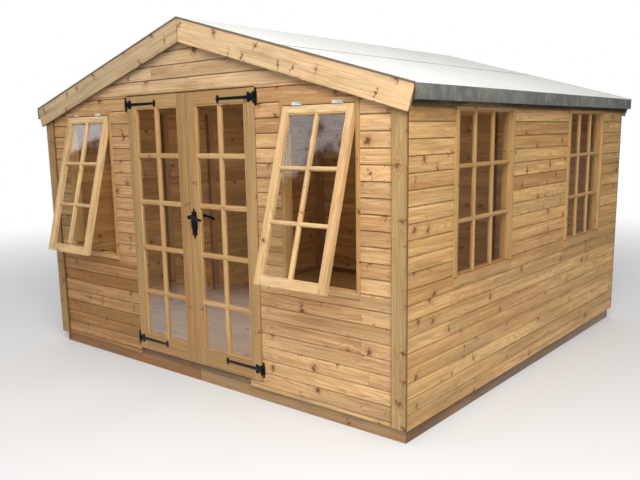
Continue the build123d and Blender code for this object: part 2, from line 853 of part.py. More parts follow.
board_reach = eave_reach - fascia_thickness
roof_board_parts = []
felt_parts = []
for name, side in (("left", -1), ("right", 1)):
    with BuildPart() as boards:
        with BuildSketch(Plane.XZ):
            outline(
                (0, under_line(0)),
                (side * board_reach, under_line(board_reach)),
                (side * board_reach, board_line(board_reach)),
                (0, board_line(0)),
            )
        extrude(amount=roof_end, both=True)
    boards.part.label = "roof_boards_" + name
    roof_board_parts.append(boards)
    felt_reach = eave_reach + felt_thickness
    fascia_base = felt_line(eave_reach) - fascia_depth
    with BuildPart() as felt:
        with BuildSketch(Plane.XZ):
            outline(
                (0, board_line(0)),
                (side * eave_reach, board_line(eave_reach)),
                (side * eave_reach, fascia_base),
                (side * felt_reach, fascia_base),
                (side * felt_reach, felt_line(felt_reach)),
                (0, felt_line(0)),
            )
        extrude(amount=verge_reach + felt_edge_lip, both=True)
    felt.part.label = "roof_felt_" + name
    felt_parts.append(felt)

with BuildPart() as eave_fascias:
    with BuildSketch(Plane.XZ):
        for side in (-1, 1):
            outline(
                (side * board_reach, fascia_base),
                (side * eave_reach, fascia_base),
                (side * eave_reach, board_line(eave_reach)),
                (side * board_reach, board_line(board_reach)),
            )
    extrude(amount=roof_end, both=True)
eave_fascias.part.label = "eave_fascias"

barge_cut_x = barge_depth * sin(radians(roof_pitch))
barge_cut_z = barge_depth * lean


def barge_sketch():
    """Both boards of one gable: plumb cut at the ridge, cut square at the eaves."""
    for side in (-1, 1):
        ridge = barge_apex_gap / 2
        outline(
            (side * ridge, board_line(ridge)),
            (side * eave_reach, board_line(eave_reach)),
            (side * (eave_reach - barge_cut_x), board_line(eave_reach) - barge_cut_z),
            (side * ridge, board_line(ridge) - barge_depth / lean),
        )


with BuildPart() as bargeboards_front:
    with BuildSketch(wall_plane(-roof_end)):
        barge_sketch()
    extrude(amount=barge_thickness)
bargeboards_front.part.label = "bargeboards_front"

with BuildPart() as bargeboards_back:
    with BuildSketch(wall_plane(verge_reach)):
        barge_sketch()
    extrude(amount=barge_thickness)
bargeboards_back.part.label = "bargeboards_back"

for piece in (
    rim_boards_ends, rim_boards_sides, floor_joists, floor_deck,
    bottom_plates_ends, bottom_plates_sides, top_plates, gable_plates,
    studs_ends, studs_sides, window_trimmers, door_head, door_stops,
    front_wall_left, front_wall_right, front_gable, back_wall, left_wall, right_wall, corner_boards,
    *leaf_parts, *glass_parts, *strap_parts, hinge_plates, door_handle,
    front_window_frames, front_window_sashes, front_window_glass, sash_hinges, window_stays,
    side_window_frames, side_window_glass,
    ridge_beam, purlins, *roof_board_parts, *felt_parts, eave_fascias,
    bargeboards_front, bargeboards_back,
):
    export_step(piece.part, f"parts/{piece.part.label}.step")
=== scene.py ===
import json
from math import cos, radians, sin, tan
from random import Random

import bmesh
import bpy
from mathutils import Matrix, Vector

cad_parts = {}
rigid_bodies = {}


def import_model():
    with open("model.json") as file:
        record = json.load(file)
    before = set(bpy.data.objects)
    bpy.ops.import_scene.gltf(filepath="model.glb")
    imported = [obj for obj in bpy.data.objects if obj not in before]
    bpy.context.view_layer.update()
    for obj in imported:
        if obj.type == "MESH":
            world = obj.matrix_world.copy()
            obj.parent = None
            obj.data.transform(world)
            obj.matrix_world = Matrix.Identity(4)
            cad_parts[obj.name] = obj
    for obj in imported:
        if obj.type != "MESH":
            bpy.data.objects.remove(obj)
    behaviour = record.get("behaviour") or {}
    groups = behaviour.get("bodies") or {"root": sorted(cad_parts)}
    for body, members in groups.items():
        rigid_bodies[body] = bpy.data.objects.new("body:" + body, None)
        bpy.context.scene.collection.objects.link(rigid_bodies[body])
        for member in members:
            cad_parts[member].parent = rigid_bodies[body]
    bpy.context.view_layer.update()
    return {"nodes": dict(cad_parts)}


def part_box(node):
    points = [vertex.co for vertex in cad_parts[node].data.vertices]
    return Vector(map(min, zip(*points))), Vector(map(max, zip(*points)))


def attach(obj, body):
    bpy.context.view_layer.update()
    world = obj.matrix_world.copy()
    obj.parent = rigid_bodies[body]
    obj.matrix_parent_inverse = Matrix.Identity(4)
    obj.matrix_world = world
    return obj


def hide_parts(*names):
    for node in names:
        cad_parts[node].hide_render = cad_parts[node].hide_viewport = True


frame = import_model()


# Cladding of the front wall.
# Shiplap boards of sawn softwood, treated to a honey colour, the lip of each over the cove of the
# one below. They are nailed to the studs, notched round the windows and cut to the roof's slope.
class Tree:
    """A node tree as it is built. Inputs are given as values or as sockets to link from."""

    def __init__(self, tree):
        self.tree = tree

    def feed(self, socket, value):
        if isinstance(value, bpy.types.NodeSocket):
            self.tree.links.new(value, socket)
        else:
            socket.default_value = (*value, 1) if socket.type == "RGBA" else value

    def node(self, kind, inputs=None, **settings):
        made = self.tree.nodes.new(kind)
        for name, value in settings.items():
            setattr(made, name, value)
        for key, value in (inputs or {}).items():
            self.feed(made.inputs[key], value)
        return made

    def fill(self, node, **inputs):
        """Feeds inputs of a node by their names, with _ for a space."""
        for label, value in inputs.items():
            self.feed(node.inputs[label.replace("_", " ")], value)

    def maths(self, operation, *values, clamp=False):
        settings = {"operation": operation, "use_clamp": clamp}
        return self.node("ShaderNodeMath", dict(enumerate(values)), **settings).outputs[0]

    def times(self, *values, clamp=False):
        """The product of the first two values, plus the third one where there is one."""
        return self.maths("MULTIPLY_ADD" if len(values) == 3 else "MULTIPLY", *values, clamp=clamp)

    def vector(self, operation, *values):
        made = self.node("ShaderNodeVectorMath", dict(enumerate(values)), operation=operation)
        return made.outputs["Value" if operation in ("LENGTH", "DOT_PRODUCT") else "Vector"]

    def split(self, vector):
        return self.node("ShaderNodeSeparateXYZ", {0: vector}).outputs

    def joined(self, *values):
        return self.node("ShaderNodeCombineXYZ", dict(enumerate(values))).outputs[0]

    def ramp(self, value, low, high):
        """0 as far as low, 1 from high on, smooth between."""
        inputs = {"Value": value, "From Min": low, "From Max": high}
        made = self.node("ShaderNodeMapRange", inputs, interpolation_type="SMOOTHSTEP")
        return made.outputs["Result"]

    def blend(self, share, first, second, mode="MIX"):
        inputs = {0: share, 6: first, 7: second}
        return self.node("ShaderNodeMix", inputs, data_type="RGBA", blend_type=mode).outputs[2]

    def noise(self, vector, scale, detail=2.0, roughness=0.5):
        inputs = {"Vector": vector, "Scale": scale, "Detail": detail, "Roughness": roughness}
        return self.node("ShaderNodeTexNoise", inputs).outputs["Fac"]

    def cells(self, vector, scale):
        return self.node("ShaderNodeTexVoronoi", {"Vector": vector, "Scale": scale}).outputs

    def bump(self, height, strength, distance):
        inputs = {"Strength": strength, "Distance": distance, "Height": height}
        return self.node("ShaderNodeBump", inputs).outputs["Normal"]

    def mark(self, label, output="Fac"):
        """An attribute of the piece's mesh, in a material."""
        return self.node("ShaderNodeAttribute", attribute_name=label).outputs[output]

    def place(self):
        """The point on the piece, in a material."""
        return self.node("ShaderNodeTexCoord").outputs["Object"]

    def mixed(self, share, first, second):
        return self.node("ShaderNodeMixShader", {0: share, 1: first, 2: second}).outputs[0]

    def show(self, shader, output="Material Output"):
        self.feed(self.tree.nodes[output].inputs["Surface"], shader)

    def named(self, label, sort="FLOAT_VECTOR"):
        """An attribute of the geometry."""
        inputs = {"Name": label}
        return self.node("GeometryNodeInputNamedAttribute", inputs, data_type=sort).outputs["Attribute"]

    def stored(self, geometry, label, value, sort="FLOAT_VECTOR"):
        inputs = {"Geometry": geometry, "Name": label, "Value": value}
        made = self.node("GeometryNodeStoreNamedAttribute", inputs, data_type=sort, domain="POINT")
        return made.outputs[0]

    def realized(self, geometry, material):
        """The end of a geometry tree."""
        real = self.node("GeometryNodeRealizeInstances", {"Geometry": geometry}).outputs[0]
        return self.node("GeometryNodeSetMaterial", {"Geometry": real, "Material": material}).outputs[0]


def open_group(name, kind, sockets, results):
    """A node group: its tree, its given values and its end node. sockets has the sort or the
    default of each input."""
    tree = bpy.data.node_groups.new(name, kind)
    for label, value in sockets.items():
        sort = {str: value, float: "Float", tuple: "Color"}[type(value)]
        made = tree.interface.new_socket(label, in_out="INPUT", socket_type="NodeSocket" + sort)
        if value != sort:
            made.default_value = (*value, 1) if sort == "Color" else value
    for label, sort in results.items():
        tree.interface.new_socket(label, in_out="OUTPUT", socket_type="NodeSocket" + sort)
    return Tree(tree), tree.nodes.new("NodeGroupInput").outputs, tree.nodes.new("NodeGroupOutput")


def knot_field(tree, grain, cells, share, size):
    """Round knots in some of the cells of the board's face: whether a cell has one, how far a point
    is from its middle in radii, and its distances across and along the grain in cells."""
    voronoi = {"Vector": grain, "Scale": cells, "Randomness": 0.85}
    middle = tree.node("ShaderNodeTexVoronoi", voronoi, voronoi_dimensions="2D").outputs
    flat = (cells, cells, 0)
    here = tree.vector("MULTIPLY", grain, flat)
    centre = tree.vector("MULTIPLY", middle["Position"], flat)
    chance = tree.node("ShaderNodeSeparateColor", {"Color": middle["Color"]}).outputs
    turn = tree.times(chance[2], 1.2, -0.6)
    away = {"Vector": tree.vector("SUBTRACT", here, centre), "Angle": turn}
    away = tree.node("ShaderNodeVectorRotate", away, rotation_type="Z_AXIS").outputs[0]
    oval = tree.vector("MULTIPLY", away, tree.joined(tree.times(chance[2], 0.5, 0.45), 1.0))
    wobble = tree.times(tree.noise(grain, 110, 2), 1.1, 0.45)
    radius = tree.times(tree.times(chance[1], 0.9, 0.35), tree.times(size, cells))
    reach = tree.maths("DIVIDE", tree.times(tree.vector("LENGTH", oval), wobble), radius)
    return tree.maths("LESS_THAN", chance[0], share), reach, tree.split(away)


timber, given, result = open_group(
    "timber", "ShaderNodeTree",
    {
        "Grain": "Vector", "Tone": "Float", "Shade": "Float", "Pale": "Color", "Deep": "Color",
        "Tint": "Color", "Tint Amount": 0.42, "Late Wood": (0.28, 0.12, 0.035), "Ring Strength": 0.30,
        "Rings": 26.0, "Knot Share": 0.21, "Knot Size": 0.012, "Weather": 0.50,
    },
    {"Color": "Color", "Roughness": "Float", "Height": "Float"},
)
times, maths, ramp, blend = timber.times, timber.maths, timber.ramp, timber.blend
grain = given["Grain"]
knot_cells = 8.0
pin_cells = 21.0
pin_share = 0.06
pin_size = 0.0032
there, reach, beside = knot_field(timber, grain, knot_cells, given["Knot Share"], given["Knot Size"])
pin_there, pin_reach, _ = knot_field(timber, grain, pin_cells, pin_share, pin_size)
bulge = times(there, maths("EXPONENT", times(reach, -0.6)))


def strands(along, across, detail=2.0, roughness=0.6):
    """Noise drawn out with the grain, in waves to the metre along and across it."""
    return timber.noise(timber.vector("MULTIPLY", grain, (along, across, across)), 1.0, detail, roughness)


# Growth rings: long, nearly straight lines that part round a knot.
bent = times(bulge, 0.22, strands(0.6, 11.0, roughness=0.5))
rings = maths("FRACT", times(bent, given["Rings"]))
late = times(ramp(rings, 0.30, 0.90), ramp(rings, 1.0, 0.93))
ringed = times(times(late, given["Ring Strength"]), times(bulge, 2.6, 0.8))

# Where the coats lie: the darker wood, its tint, fine lines, dirt, the warm ring round a knot, its
# heart, the crack through it, pin knots, grime in the fibres, the darkening of boards with a tone
# above one, and the painted shade at the seams and edges.
streak = strands(1.1, 30.0, 4.0, 0.65)
fibre = strands(14.0, 900.0)
deeper = times(maths("MINIMUM", given["Tone"], 1.0), 0.75, 0.05)
warmth = times(maths("SUBTRACT", streak, 0.5), 2.6, deeper, clamp=True)
tinted = times(ramp(strands(1.3, 6.0, roughness=0.5), 0.42, 0.68), given["Tint Amount"])
lined = times(ramp(strands(3.5, 170.0), 0.48, 0.72), 0.48)
soiled = times(ramp(strands(2.4, 16.0, 3.0), 0.50, 0.75), given["Weather"])
halo = times(there, times(ramp(reach, 3.0, 0.9), 0.45))
core = times(there, ramp(reach, 1.15, 0.80))
bend = times(timber.noise(grain, 48, 1), 0.06, -0.03)
off_line = maths("ABSOLUTE", times(beside[0], 1 / knot_cells, bend))
along_line = maths("ABSOLUTE", times(beside[1], 1 / knot_cells))
crack = times(ramp(off_line, 0.0058, 0.0016), ramp(along_line, 0.036, 0.020))
cracked = times(times(crack, there), 0.8)
pins = times(pin_there, times(ramp(pin_reach, 1.3, 0.6), 0.75))
grime = times(ramp(fibre, 0.5, 0.75), times(given["Weather"], 0.5))
# Boards given a tone above one are darkened further.
darkened = ramp(given["Tone"], 0.98, 1.35)
# Painted shade: where the Shade attribute is high, at the seams, coves and edges, the wood is darkened as if
# in shadow.
seam = times(strands(10.0, 45.0, 3.0), 0.9, maths("SUBTRACT", given["Shade"], 0.45))
seam = times(ramp(seam, 0.25, 0.85), 0.80)

# Their colours, from the pale wood up.
heart = blend(ramp(reach, 0.15, 0.9), (0.13, 0.055, 0.02), (0.05, 0.02, 0.009))
colour = blend(warmth, given["Pale"], given["Deep"])
for share, coat in (
    (tinted, given["Tint"]), (maths("MINIMUM", ringed, 0.9), given["Late Wood"]),
    (lined, given["Late Wood"]), (soiled, (0.26, 0.15, 0.065)), (halo, (0.34, 0.15, 0.05)),
    (times(core, 0.65), heart), (cracked, (0.11, 0.045, 0.016)), (pins, (0.10, 0.04, 0.015)),
    (grime, (0.20, 0.14, 0.08)),
):
    colour = blend(share, colour, coat)
colour = blend(darkened, colour, (0.68, 0.54, 0.36), "MULTIPLY")
# The painted shade at the seams and edges.
colour = blend(seam, colour, (0.11, 0.05, 0.02))
relief = times(late, 0.35, times(fibre, 0.5))
relief = maths("SUBTRACT", relief, times(core, 0.4))
timber.fill(result, Color=colour, Roughness=times(streak, 0.25, 0.52), Height=relief)


def finish(name):
    """A new material with its tree and its Principled shader."""
    made = bpy.data.materials.new(name)
    made.use_nodes = True
    return made, Tree(made.node_tree), made.node_tree.nodes["Principled BSDF"]


def wood(name, pale, deep, tint, **values):
    """A timber finish: its colours, and the group's other inputs where they differ from its own."""
    made, tree, surface = finish(name)
    group = tree.node("ShaderNodeGroup", node_tree=timber.tree)
    colours = {"Pale": pale, "Deep": deep, "Tint": tint}
    marks = {"Grain": tree.mark("grain", "Vector"), "Shade": tree.mark("shade"), "Tone": tree.mark("tone")}
    tree.fill(group, **marks, **colours, **values)
    tree.fill(
        surface, Base_Color=group.outputs["Color"], Roughness=group.outputs["Roughness"],
        Normal=tree.bump(group.outputs["Height"], 0.35, 0.0012), Specular_IOR_Level=0.3,
    )
    return made


# Sweeps one section along every edge of a mesh. Each edge carries its own direction, outward side,
# half sizes, board number and the heights it is cut to.
tree, given, result = open_group(
    "timber_runs", "GeometryNodeTree",
    {
        "Runs": "Geometry", "Section": "Object", "Material": "Material", "Roof Height": 100.0,
        "Roof Slope": 1.0, "Seed": "Int",
    },
    {"Geometry": "Geometry"},
)
grain_room = 40.0
vector, maths, named, stored = tree.vector, tree.maths, tree.named, tree.stored
position = tree.node("GeometryNodeInputPosition").outputs[0]
profile = {"Object": given["Section"]}
profile = tree.node("GeometryNodeObjectInfo", profile, transform_space="ORIGINAL").outputs["Geometry"]
curves = []
for geometry, label in ((given["Runs"], "spine"), (profile, "section")):
    geometry = stored(geometry, label, position)
    curves.append(tree.node("GeometryNodeMeshToCurve", {"Mesh": geometry}).outputs[0])
swept = {"Curve": curves[0], "Profile Curve": curves[1], "Fill Caps": True}
swept = tree.node("GeometryNodeCurveToMesh", swept).outputs["Mesh"]
run_way = named("run")
out_way = named("out")
side_way = vector("CROSS_PRODUCT", out_way, run_way)
moved = vector("MULTIPLY", named("corner"), named("half"))
offset = tree.split(vector("ADD", named("section"), moved))
outward = vector("MULTIPLY", out_way, offset[0])
place = vector("ADD", outward, vector("MULTIPLY", side_way, offset[1]))
place = tree.split(vector("ADD", place, named("spine")))
height = maths("MAXIMUM", place[2], named("low", "FLOAT"))
height = maths("MINIMUM", height, named("high", "FLOAT"))
reach = maths("SUBTRACT", given["Roof Height"], height)
reach = maths("DIVIDE", reach, given["Roof Slope"])
across = maths("MAXIMUM", place[0], tree.times(reach, -1.0))
place = tree.joined(maths("MINIMUM", across, reach), place[1], height)
swept = tree.node("GeometryNodeSetPosition", {"Geometry": swept, "Position": place}).outputs[0]
luck = {"Max": (grain_room,) * 3, "ID": named("board", "INT"), "Seed": given["Seed"]}
luck = tree.node("FunctionNodeRandomValue", luck, data_type="FLOAT_VECTOR").outputs[0]
ways = (run_way, side_way, out_way)
grain = tree.joined(*(vector("DOT_PRODUCT", position, way) for way in ways))
swept = stored(swept, "grain", vector("ADD", grain, luck))
swept = stored(swept, "tone", maths("FRACT", tree.split(luck)[1]), "FLOAT")
tree.fill(result, Geometry=tree.realized(swept, given["Material"]))


class Runs:
    """Straight timbers, each an edge with the attributes that the timber_runs group reads."""

    def __init__(self):
        self.points = []
        self.marks = {"run": [], "out": [], "half": [], "low": [], "high": [], "board": []}

    def add(self, start, end, out, half=(0, 0), board=None, low=-9.0, high=9.0):
        start, end = Vector(start), Vector(end)
        number = len(self.points) // 2 + 1000 if board is None else board
        self.points += [start, end]
        values = ((end - start).normalized(), Vector(out), (*half, 0.0), (low,), (high,), (number,))
        for marks, value in zip(self.marks.values(), values):
            marks.extend([*value, *value])


def into_scene(name, data):
    made = bpy.data.objects.new(name, data)
    bpy.context.scene.collection.objects.link(made)
    return made


def mark_points(mesh, label, values):
    """Stores vectors, whole numbers or others on the points of a mesh."""
    if len(values) == 3 * len(mesh.vertices):
        sort, key = "FLOAT_VECTOR", "vector"
    else:
        sort, key = "INT" if isinstance(values[0], int) else "FLOAT", "value"
    mesh.attributes.new(label, sort, "POINT").data.foreach_set(key, values)


def section(name, points, corners=None, shades=None):
    """A closed section, x outward and y to the side. corners says which way a point moves with
    the half sizes of its run, and shades how much painted shade each point has."""
    mesh = bpy.data.meshes.new(name)
    count = len(points)
    mesh.from_pydata([(x, y, 0) for x, y in points], [(i, (i + 1) % count) for i in range(count)], [])
    moves = [value for x, y in corners or [(0, 0)] * count for value in (x, y, 0)]
    mark_points(mesh, "corner", moves)
    if shades:
        mark_points(mesh, "shade", shades)
    return into_scene(name, mesh)


weld = 0.00001


def grown(name, mesh, group, inputs):
    """What the geometry group makes of this mesh, as a plain welded mesh with its faces outward."""
    source = into_scene(name + "_source", mesh)
    modifier = source.modifiers.new(group, "NODES")
    modifier.node_group = bpy.data.node_groups[group]
    for item in modifier.node_group.interface.items_tree:
        if item.item_type == "SOCKET" and item.name in inputs:
            modifier[item.identifier] = inputs[item.name]
    graph = bpy.context.evaluated_depsgraph_get()
    settings = {"preserve_all_data_layers": True, "depsgraph": graph}
    plain = bpy.data.meshes.new_from_object(source.evaluated_get(graph), **settings)
    plain.name = name
    bpy.data.objects.remove(source)
    shape = bmesh.new()
    shape.from_mesh(plain)
    bmesh.ops.dissolve_degenerate(shape, dist=weld, edges=shape.edges)
    bmesh.ops.recalc_face_normals(shape, faces=shape.faces)
    shape.to_mesh(plain)
    shape.free()
    plain.shade_smooth()
    plain.set_sharp_from_angle(angle=radians(32))
    return into_scene(name, plain)


def place_piece(piece, body, slot, nodes):
    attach(piece, body)
    if nodes:
        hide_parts(*nodes)
    return piece


def swept_timbers(name, runs, profile, material, slot, seed, nodes=(), body="shell", roof=None):
    """Every run swept with the section, as one piece in place of these CAD nodes."""
    mesh = bpy.data.meshes.new(name + "_runs")
    mesh.from_pydata(runs.points, [(i, i + 1) for i in range(0, len(runs.points), 2)], [])
    for label, values in runs.marks.items():
        mark_points(mesh, label, values)
    inputs = {"Section": profile, "Material": material, "Seed": seed}
    if roof:
        inputs["Roof Height"], inputs["Roof Slope"] = roof
    return place_piece(grown(name, mesh, "timber_runs", inputs), body, slot, nodes)


front_course = 0.0774
front_line = 0.0971
gable_course = 0.0785
gable_line = 1.735
side_course = 0.0764
side_line = 0.0776
wall_base = 0.074
lap = 0.0085
board_back = 0.0004
board_rebate = 0.0084
board_face = 0.0138
cove = ((0.0076, 0.001), (0.0086, 0.004), (0.0104, 0.0075), (0.0124, 0.0108))


def shiplap(name, course, painted_shade=1.0):
    """The section of a shiplap board for courses of this height, with painted shade at its lip and cove."""
    points = [
        (0.0136, 0.0012), (0.0128, 0.0), (board_rebate, 0.0), (board_rebate, lap + board_back),
        (board_back, lap + board_back), (board_back, course + lap), (0.0074, course + lap),
    ]
    points += [(x, course - drop) for x, drop in cove]
    points += [(board_face, course - 0.0130), (board_face, lap), (0.0137, 0.0040)]
    corners = [(0, -1)] * 5 + [(0, 0)] * 7 + [(0, -1)] * 2
    # Painted shade along the lip and in the cove, where the boards overlap.
    shades = [0.6, 0.9, 1.0, 1.0, 0, 0, 0.8, 0.7, 0.35, 0.12, 0, 0, 0, 0.12]
    return section(name, points, corners, [painted_shade * shade for shade in shades])


front_boards = (shiplap("front_section", front_course), front_course, front_line)
gable_boards = (shiplap("gable_section", gable_course), gable_course, gable_line)
side_boards = (shiplap("side_section", side_course, 0.82), side_course, side_line)
cladding_wood = wood(
    "cladding_wood", (0.72, 0.45, 0.185), (0.42, 0.215, 0.070), (0.33, 0.25, 0.10),
    Knot_Share=0.32, Knot_Size=0.0085, Ring_Strength=0.42,
)
front_wood = wood(
    "front_wood", (0.76, 0.485, 0.24), (0.43, 0.23, 0.095), (0.35, 0.26, 0.13),
    Knot_Share=0.36, Knot_Size=0.009, Ring_Strength=0.42,
)
gable_wood = wood("gable_wood", (0.73, 0.51, 0.30), (0.46, 0.29, 0.15), (0.40, 0.32, 0.18))
roof_pitch = radians(16)
roof_slope = tan(roof_pitch)
roof_gap = 0.0005
roof_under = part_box("front_gable")[1].z - roof_gap
stud_face = -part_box("left_wall")[1].x
wall_half = 1.5
butt_gap = 0.0006
sliver = 0.004
touching = 0.0001
numbers_a_row = 20


def on_wall(out, along, height):
    """The point of the studs at this distance along the wall that faces out."""
    return out * stud_face + Vector((along, 0, height) if out.x == 0 else (0, along, height))


def clad(name, nodes, out, boards, material, seed, number, top, openings=(), joints=None, foot=wall_base):
    """The boards of the wall that faces out, numbered from number. boards is their section, course
    and first line, openings are (start, end, bottom, top), and joints the butt joints by course. A
    gap of more than a lap under the first line is closed with a ripped board."""
    profile, course, first_line = boards
    gabled = out.x == 0
    end_of_wall = stud_face if gabled else wall_half
    runs = Runs()
    ripped = first_line - foot > lap
    for row in range(-1 if ripped else 0, int((top - first_line) / course) + 1):
        line = first_line + row * course
        base = foot if row == 0 and not ripped else line
        upper = line + course
        edges = {-end_of_wall, end_of_wall}
        for start, end, low, high in openings:
            if low < upper and high > base:
                edges.update((start, end))
        edges = sorted(edges)
        pieces = []
        for start, end in zip(edges, edges[1:]):
            middle = (start + end) / 2
            limits = [(foot, top)]
            for left, right, low, high in openings:
                if left < middle < right and low < upper and high > base:
                    limits = [(a, min(b, low)) for a, b in limits if low > base + sliver]
                    if high < upper - sliver:
                        limits = limits + [(high, top)]
            for low, high in limits:
                if pieces and pieces[-1][1] == start and pieces[-1][2:] == [low, high]:
                    pieces[-1][1] = end
                else:
                    pieces.append([start, end, low, high])
        board = number + numbers_a_row * row
        last_end = None
        for start, end, low, high in pieces:
            if last_end is not None and start > last_end + touching:
                board += 1
            here = sorted(cut for cut in (joints or {}).get(row, []) if start < cut < end)
            cuts = [start, *here, end]
            for i, (near, far) in enumerate(zip(cuts, cuts[1:])):
                if i:
                    board += 1
                    near += butt_gap
                if i < len(cuts) - 2:
                    far -= butt_gap
                ends = [on_wall(out, near, line), on_wall(out, far, line)]
                if out.cross(ends[1] - ends[0]).z < 0:
                    ends.reverse()
                runs.add(*ends, out, (0, line - base), board, low, high)
            last_end = end
    roof = (roof_under, roof_slope) if gabled else None
    return swept_timbers(name, runs, profile, material, "cladding", seed, nodes, roof=roof)


east = Vector((1, 0, 0))
west = Vector((-1, 0, 0))
north = Vector((0, 1, 0))
south = Vector((0, -1, 0))
zenith = Vector((0, 0, 1))
window_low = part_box("front_window_frames")[0].z
window_outer, frame_back, window_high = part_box("front_window_frames")[1]
window_inner = 0.737
door_side = -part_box("front_wall_left")[1].x
door_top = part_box("front_gable")[0].z
foot_top = 0.112
foot_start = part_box("front_wall_right")[0].x
front_openings = [
    (-window_outer, -window_inner, window_low, window_high),
    (window_inner, window_outer, window_low, window_high),
    (-door_side, foot_start, 0.0, door_top),
    (foot_start, door_side, foot_top, door_top),
]
front_joints = {2: [1.275], 4: [1.232], 6: [1.232], 7: [0.715], 9: [-0.98]}
front_cladding = clad(
    "front_cladding", ("front_wall_left", "front_wall_right"), south, front_boards, front_wood, 3, 0,
    gable_line, front_openings, front_joints,
)
# The boards left of the doors are given a darker tone, and those below the window a darker one
# still, with stronger painted shade at their seams.
board_tones = front_cladding.data.attributes["tone"].data
marks = front_cladding.data.attributes["shade"].data
for corner, board_tone, mark in zip(front_cladding.data.vertices, board_tones, marks):
    if corner.co.x < 0 and corner.co.z > window_low:
        board_tone.value = 0.55 + 0.45 * board_tone.value
    elif corner.co.x < 0:
        board_tone.value = 1.02 + 0.4 * board_tone.value
        mark.value = 1.3 * mark.value
clad(
    "gable_cladding", ("front_gable",), south, gable_boards, gable_wood, 4, 500,
    roof_under, joints={1: [-0.30], 2: [0.42]}, foot=gable_line,
)


# Cladding of the right wall, the left wall and the back wall.
# The same shiplap boards, butted in places over a stud. The right wall is notched round its two
# windows, and the other two walls are plain.
side_gap = 0.0042
side_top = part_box("right_wall")[1].z - side_gap
side_back, _, side_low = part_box("side_window_frames")[0]
side_face, side_far, side_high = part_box("side_window_frames")[1]
side_near = 0.416
side_openings = [(-side_far, -side_near, side_low, side_high), (side_near, side_far, side_low, side_high)]
side_joints = {
    1: [-0.394, 0.44], 2: [-1.102], 3: [0.394], 4: [-0.689], 5: [-1.102, 0.394], 6: [-0.394],
    7: [0.394, -1.102],
}
clad(
    "right_cladding", ("right_wall",), east, side_boards, cladding_wood, 11, 600,
    side_top, side_openings, side_joints,
)
chance = Random(5)
for name, out, top, pitch, rows, number, seed in (
    ("left", west, side_top, 0.488, range(0, 22, 2), 1200, 17),
    ("back", north, roof_under, 0.475, range(1, 24, 2), 1800, 23),
):
    joints = {row: [chance.choice([pitch * stud for stud in range(-2, 3)])] for row in rows}
    nodes = (name + "_wall",)
    clad(name + "_cladding", nodes, out, side_boards, cladding_wood, seed, number, top, joints=joints)


# Corner boards.
# Four flat boards of the same softwood, planed and nailed upright over the ends of the front and
# back cladding.
def clean_copy(node):
    """The shape of a CAD node, welded, with its flat faces in one."""
    shape = bmesh.new()
    shape.from_mesh(frame["nodes"][node].data)
    bmesh.ops.remove_doubles(shape, verts=shape.verts, dist=weld)
    bmesh.ops.dissolve_limit(shape, angle_limit=radians(1), verts=shape.verts, edges=shape.edges)
    bmesh.ops.recalc_face_normals(shape, faces=shape.faces)
    return shape


def shaped(shape, name, material, slot, nodes, smooth, bevel=0.0, past=0, body="shell"):
    """A piece of this shape, smooth below this angle, its edges past an angle eased by bevel."""
    if bevel:
        edges = [edge for edge in shape.edges if edge.is_manifold]
        sharp = [edge for edge in edges if edge.calc_face_angle() > radians(past)]
        settings = {"segments": 2, "profile": 0.5, "affect": "EDGES", "clamp_overlap": True}
        bmesh.ops.bevel(shape, geom=sharp, offset=bevel, **settings)
    bmesh.ops.recalc_face_normals(shape, faces=shape.faces)
    mesh = bpy.data.meshes.new(name)
    shape.to_mesh(mesh)
    shape.free()
    mesh.materials.append(material)
    mesh.shade_smooth()
    mesh.set_sharp_from_angle(angle=radians(smooth))
    return place_piece(into_scene(name, mesh), body, slot, nodes)


def islands(shape):
    """The separate solids of a bmesh in the order of its mesh, each as a list of its vertices."""
    seen = set()
    for first in list(shape.verts):
        found = [] if first in seen else [first]
        seen.add(first)
        for vert in found:
            for edge in vert.link_edges:
                other = edge.other_vert(vert)
                if other not in seen:
                    seen.add(other)
                    found.append(other)
        if found:
            yield found


def way_of(edge):
    return edge.verts[1].co - edge.verts[0].co


rim_painted_shade = 0.85


def sawn(node, material, slot, seed, rim=0.0, tones=None):
    """A copy of a CAD node as timber, the grain of each solid along its longest edge. rim is the
    width of the painted shade along the edges of the broad faces, and tones the tone of a solid to the left
    and to the right of the middle."""
    shape = clean_copy(node)
    chance = Random(seed)
    grain = shape.verts.layers.float_vector.new("grain")
    tone = shape.verts.layers.float.new("tone")
    painted_shade = shape.verts.layers.float.new("shade")
    length = bmesh.types.BMEdge.calc_length
    for solid in list(islands(shape)):
        inside = set(solid)
        edges = list(dict.fromkeys(edge for vert in solid for edge in vert.link_edges))
        along = way_of(max(edges, key=length)).normalized()
        square = [edge for edge in edges if abs(way_of(edge).normalized().dot(along)) < 0.5]
        wide = way_of(max(square, key=length))
        wide = (wide - along * wide.dot(along)).normalized()
        thick = along.cross(wide)
        shift = Vector([chance.uniform(0, grain_room) for _ in range(3)])
        shade = chance.random()
        if tones:
            shade = tones[0] if sum(vert.co.x for vert in solid) < 0 else tones[1]
        # Painted shade along the edges of the broad faces, strongest at the rim.
        if rim:
            for vert in inside:
                vert[painted_shade] = rim_painted_shade
            faces = dict.fromkeys(face for vert in solid for face in vert.link_faces)
            broad = [face for face in faces if abs(face.normal.dot(thick)) > 0.9]
            before = set(shape.verts)
            bmesh.ops.inset_individual(shape, faces=broad, thickness=rim)
            fresh = set(shape.verts) - before
            for vert in fresh:
                vert[painted_shade] = 0.0
            inside |= fresh
        for vert in inside:
            vert[grain] = Vector((vert.co.dot(along), vert.co.dot(wide), vert.co.dot(thick))) + shift
            vert[tone] = shade
    shaped(shape, node + "_timber", material, slot, (node,), smooth=50, bevel=0.0015, past=20)


corner_wood = wood(
    "corner_wood", (0.44, 0.30, 0.137), (0.32, 0.195, 0.074), (0.27, 0.215, 0.09),
    Tint_Amount=0.45, Knot_Share=0.60, Knot_Size=0.009, Rings=20.0, Ring_Strength=0.45,
)
# Their edges carry painted shade, for the shadow gap on each side.
sawn("corner_boards", corner_wood, "corner_timber", 2, rim=0.013)


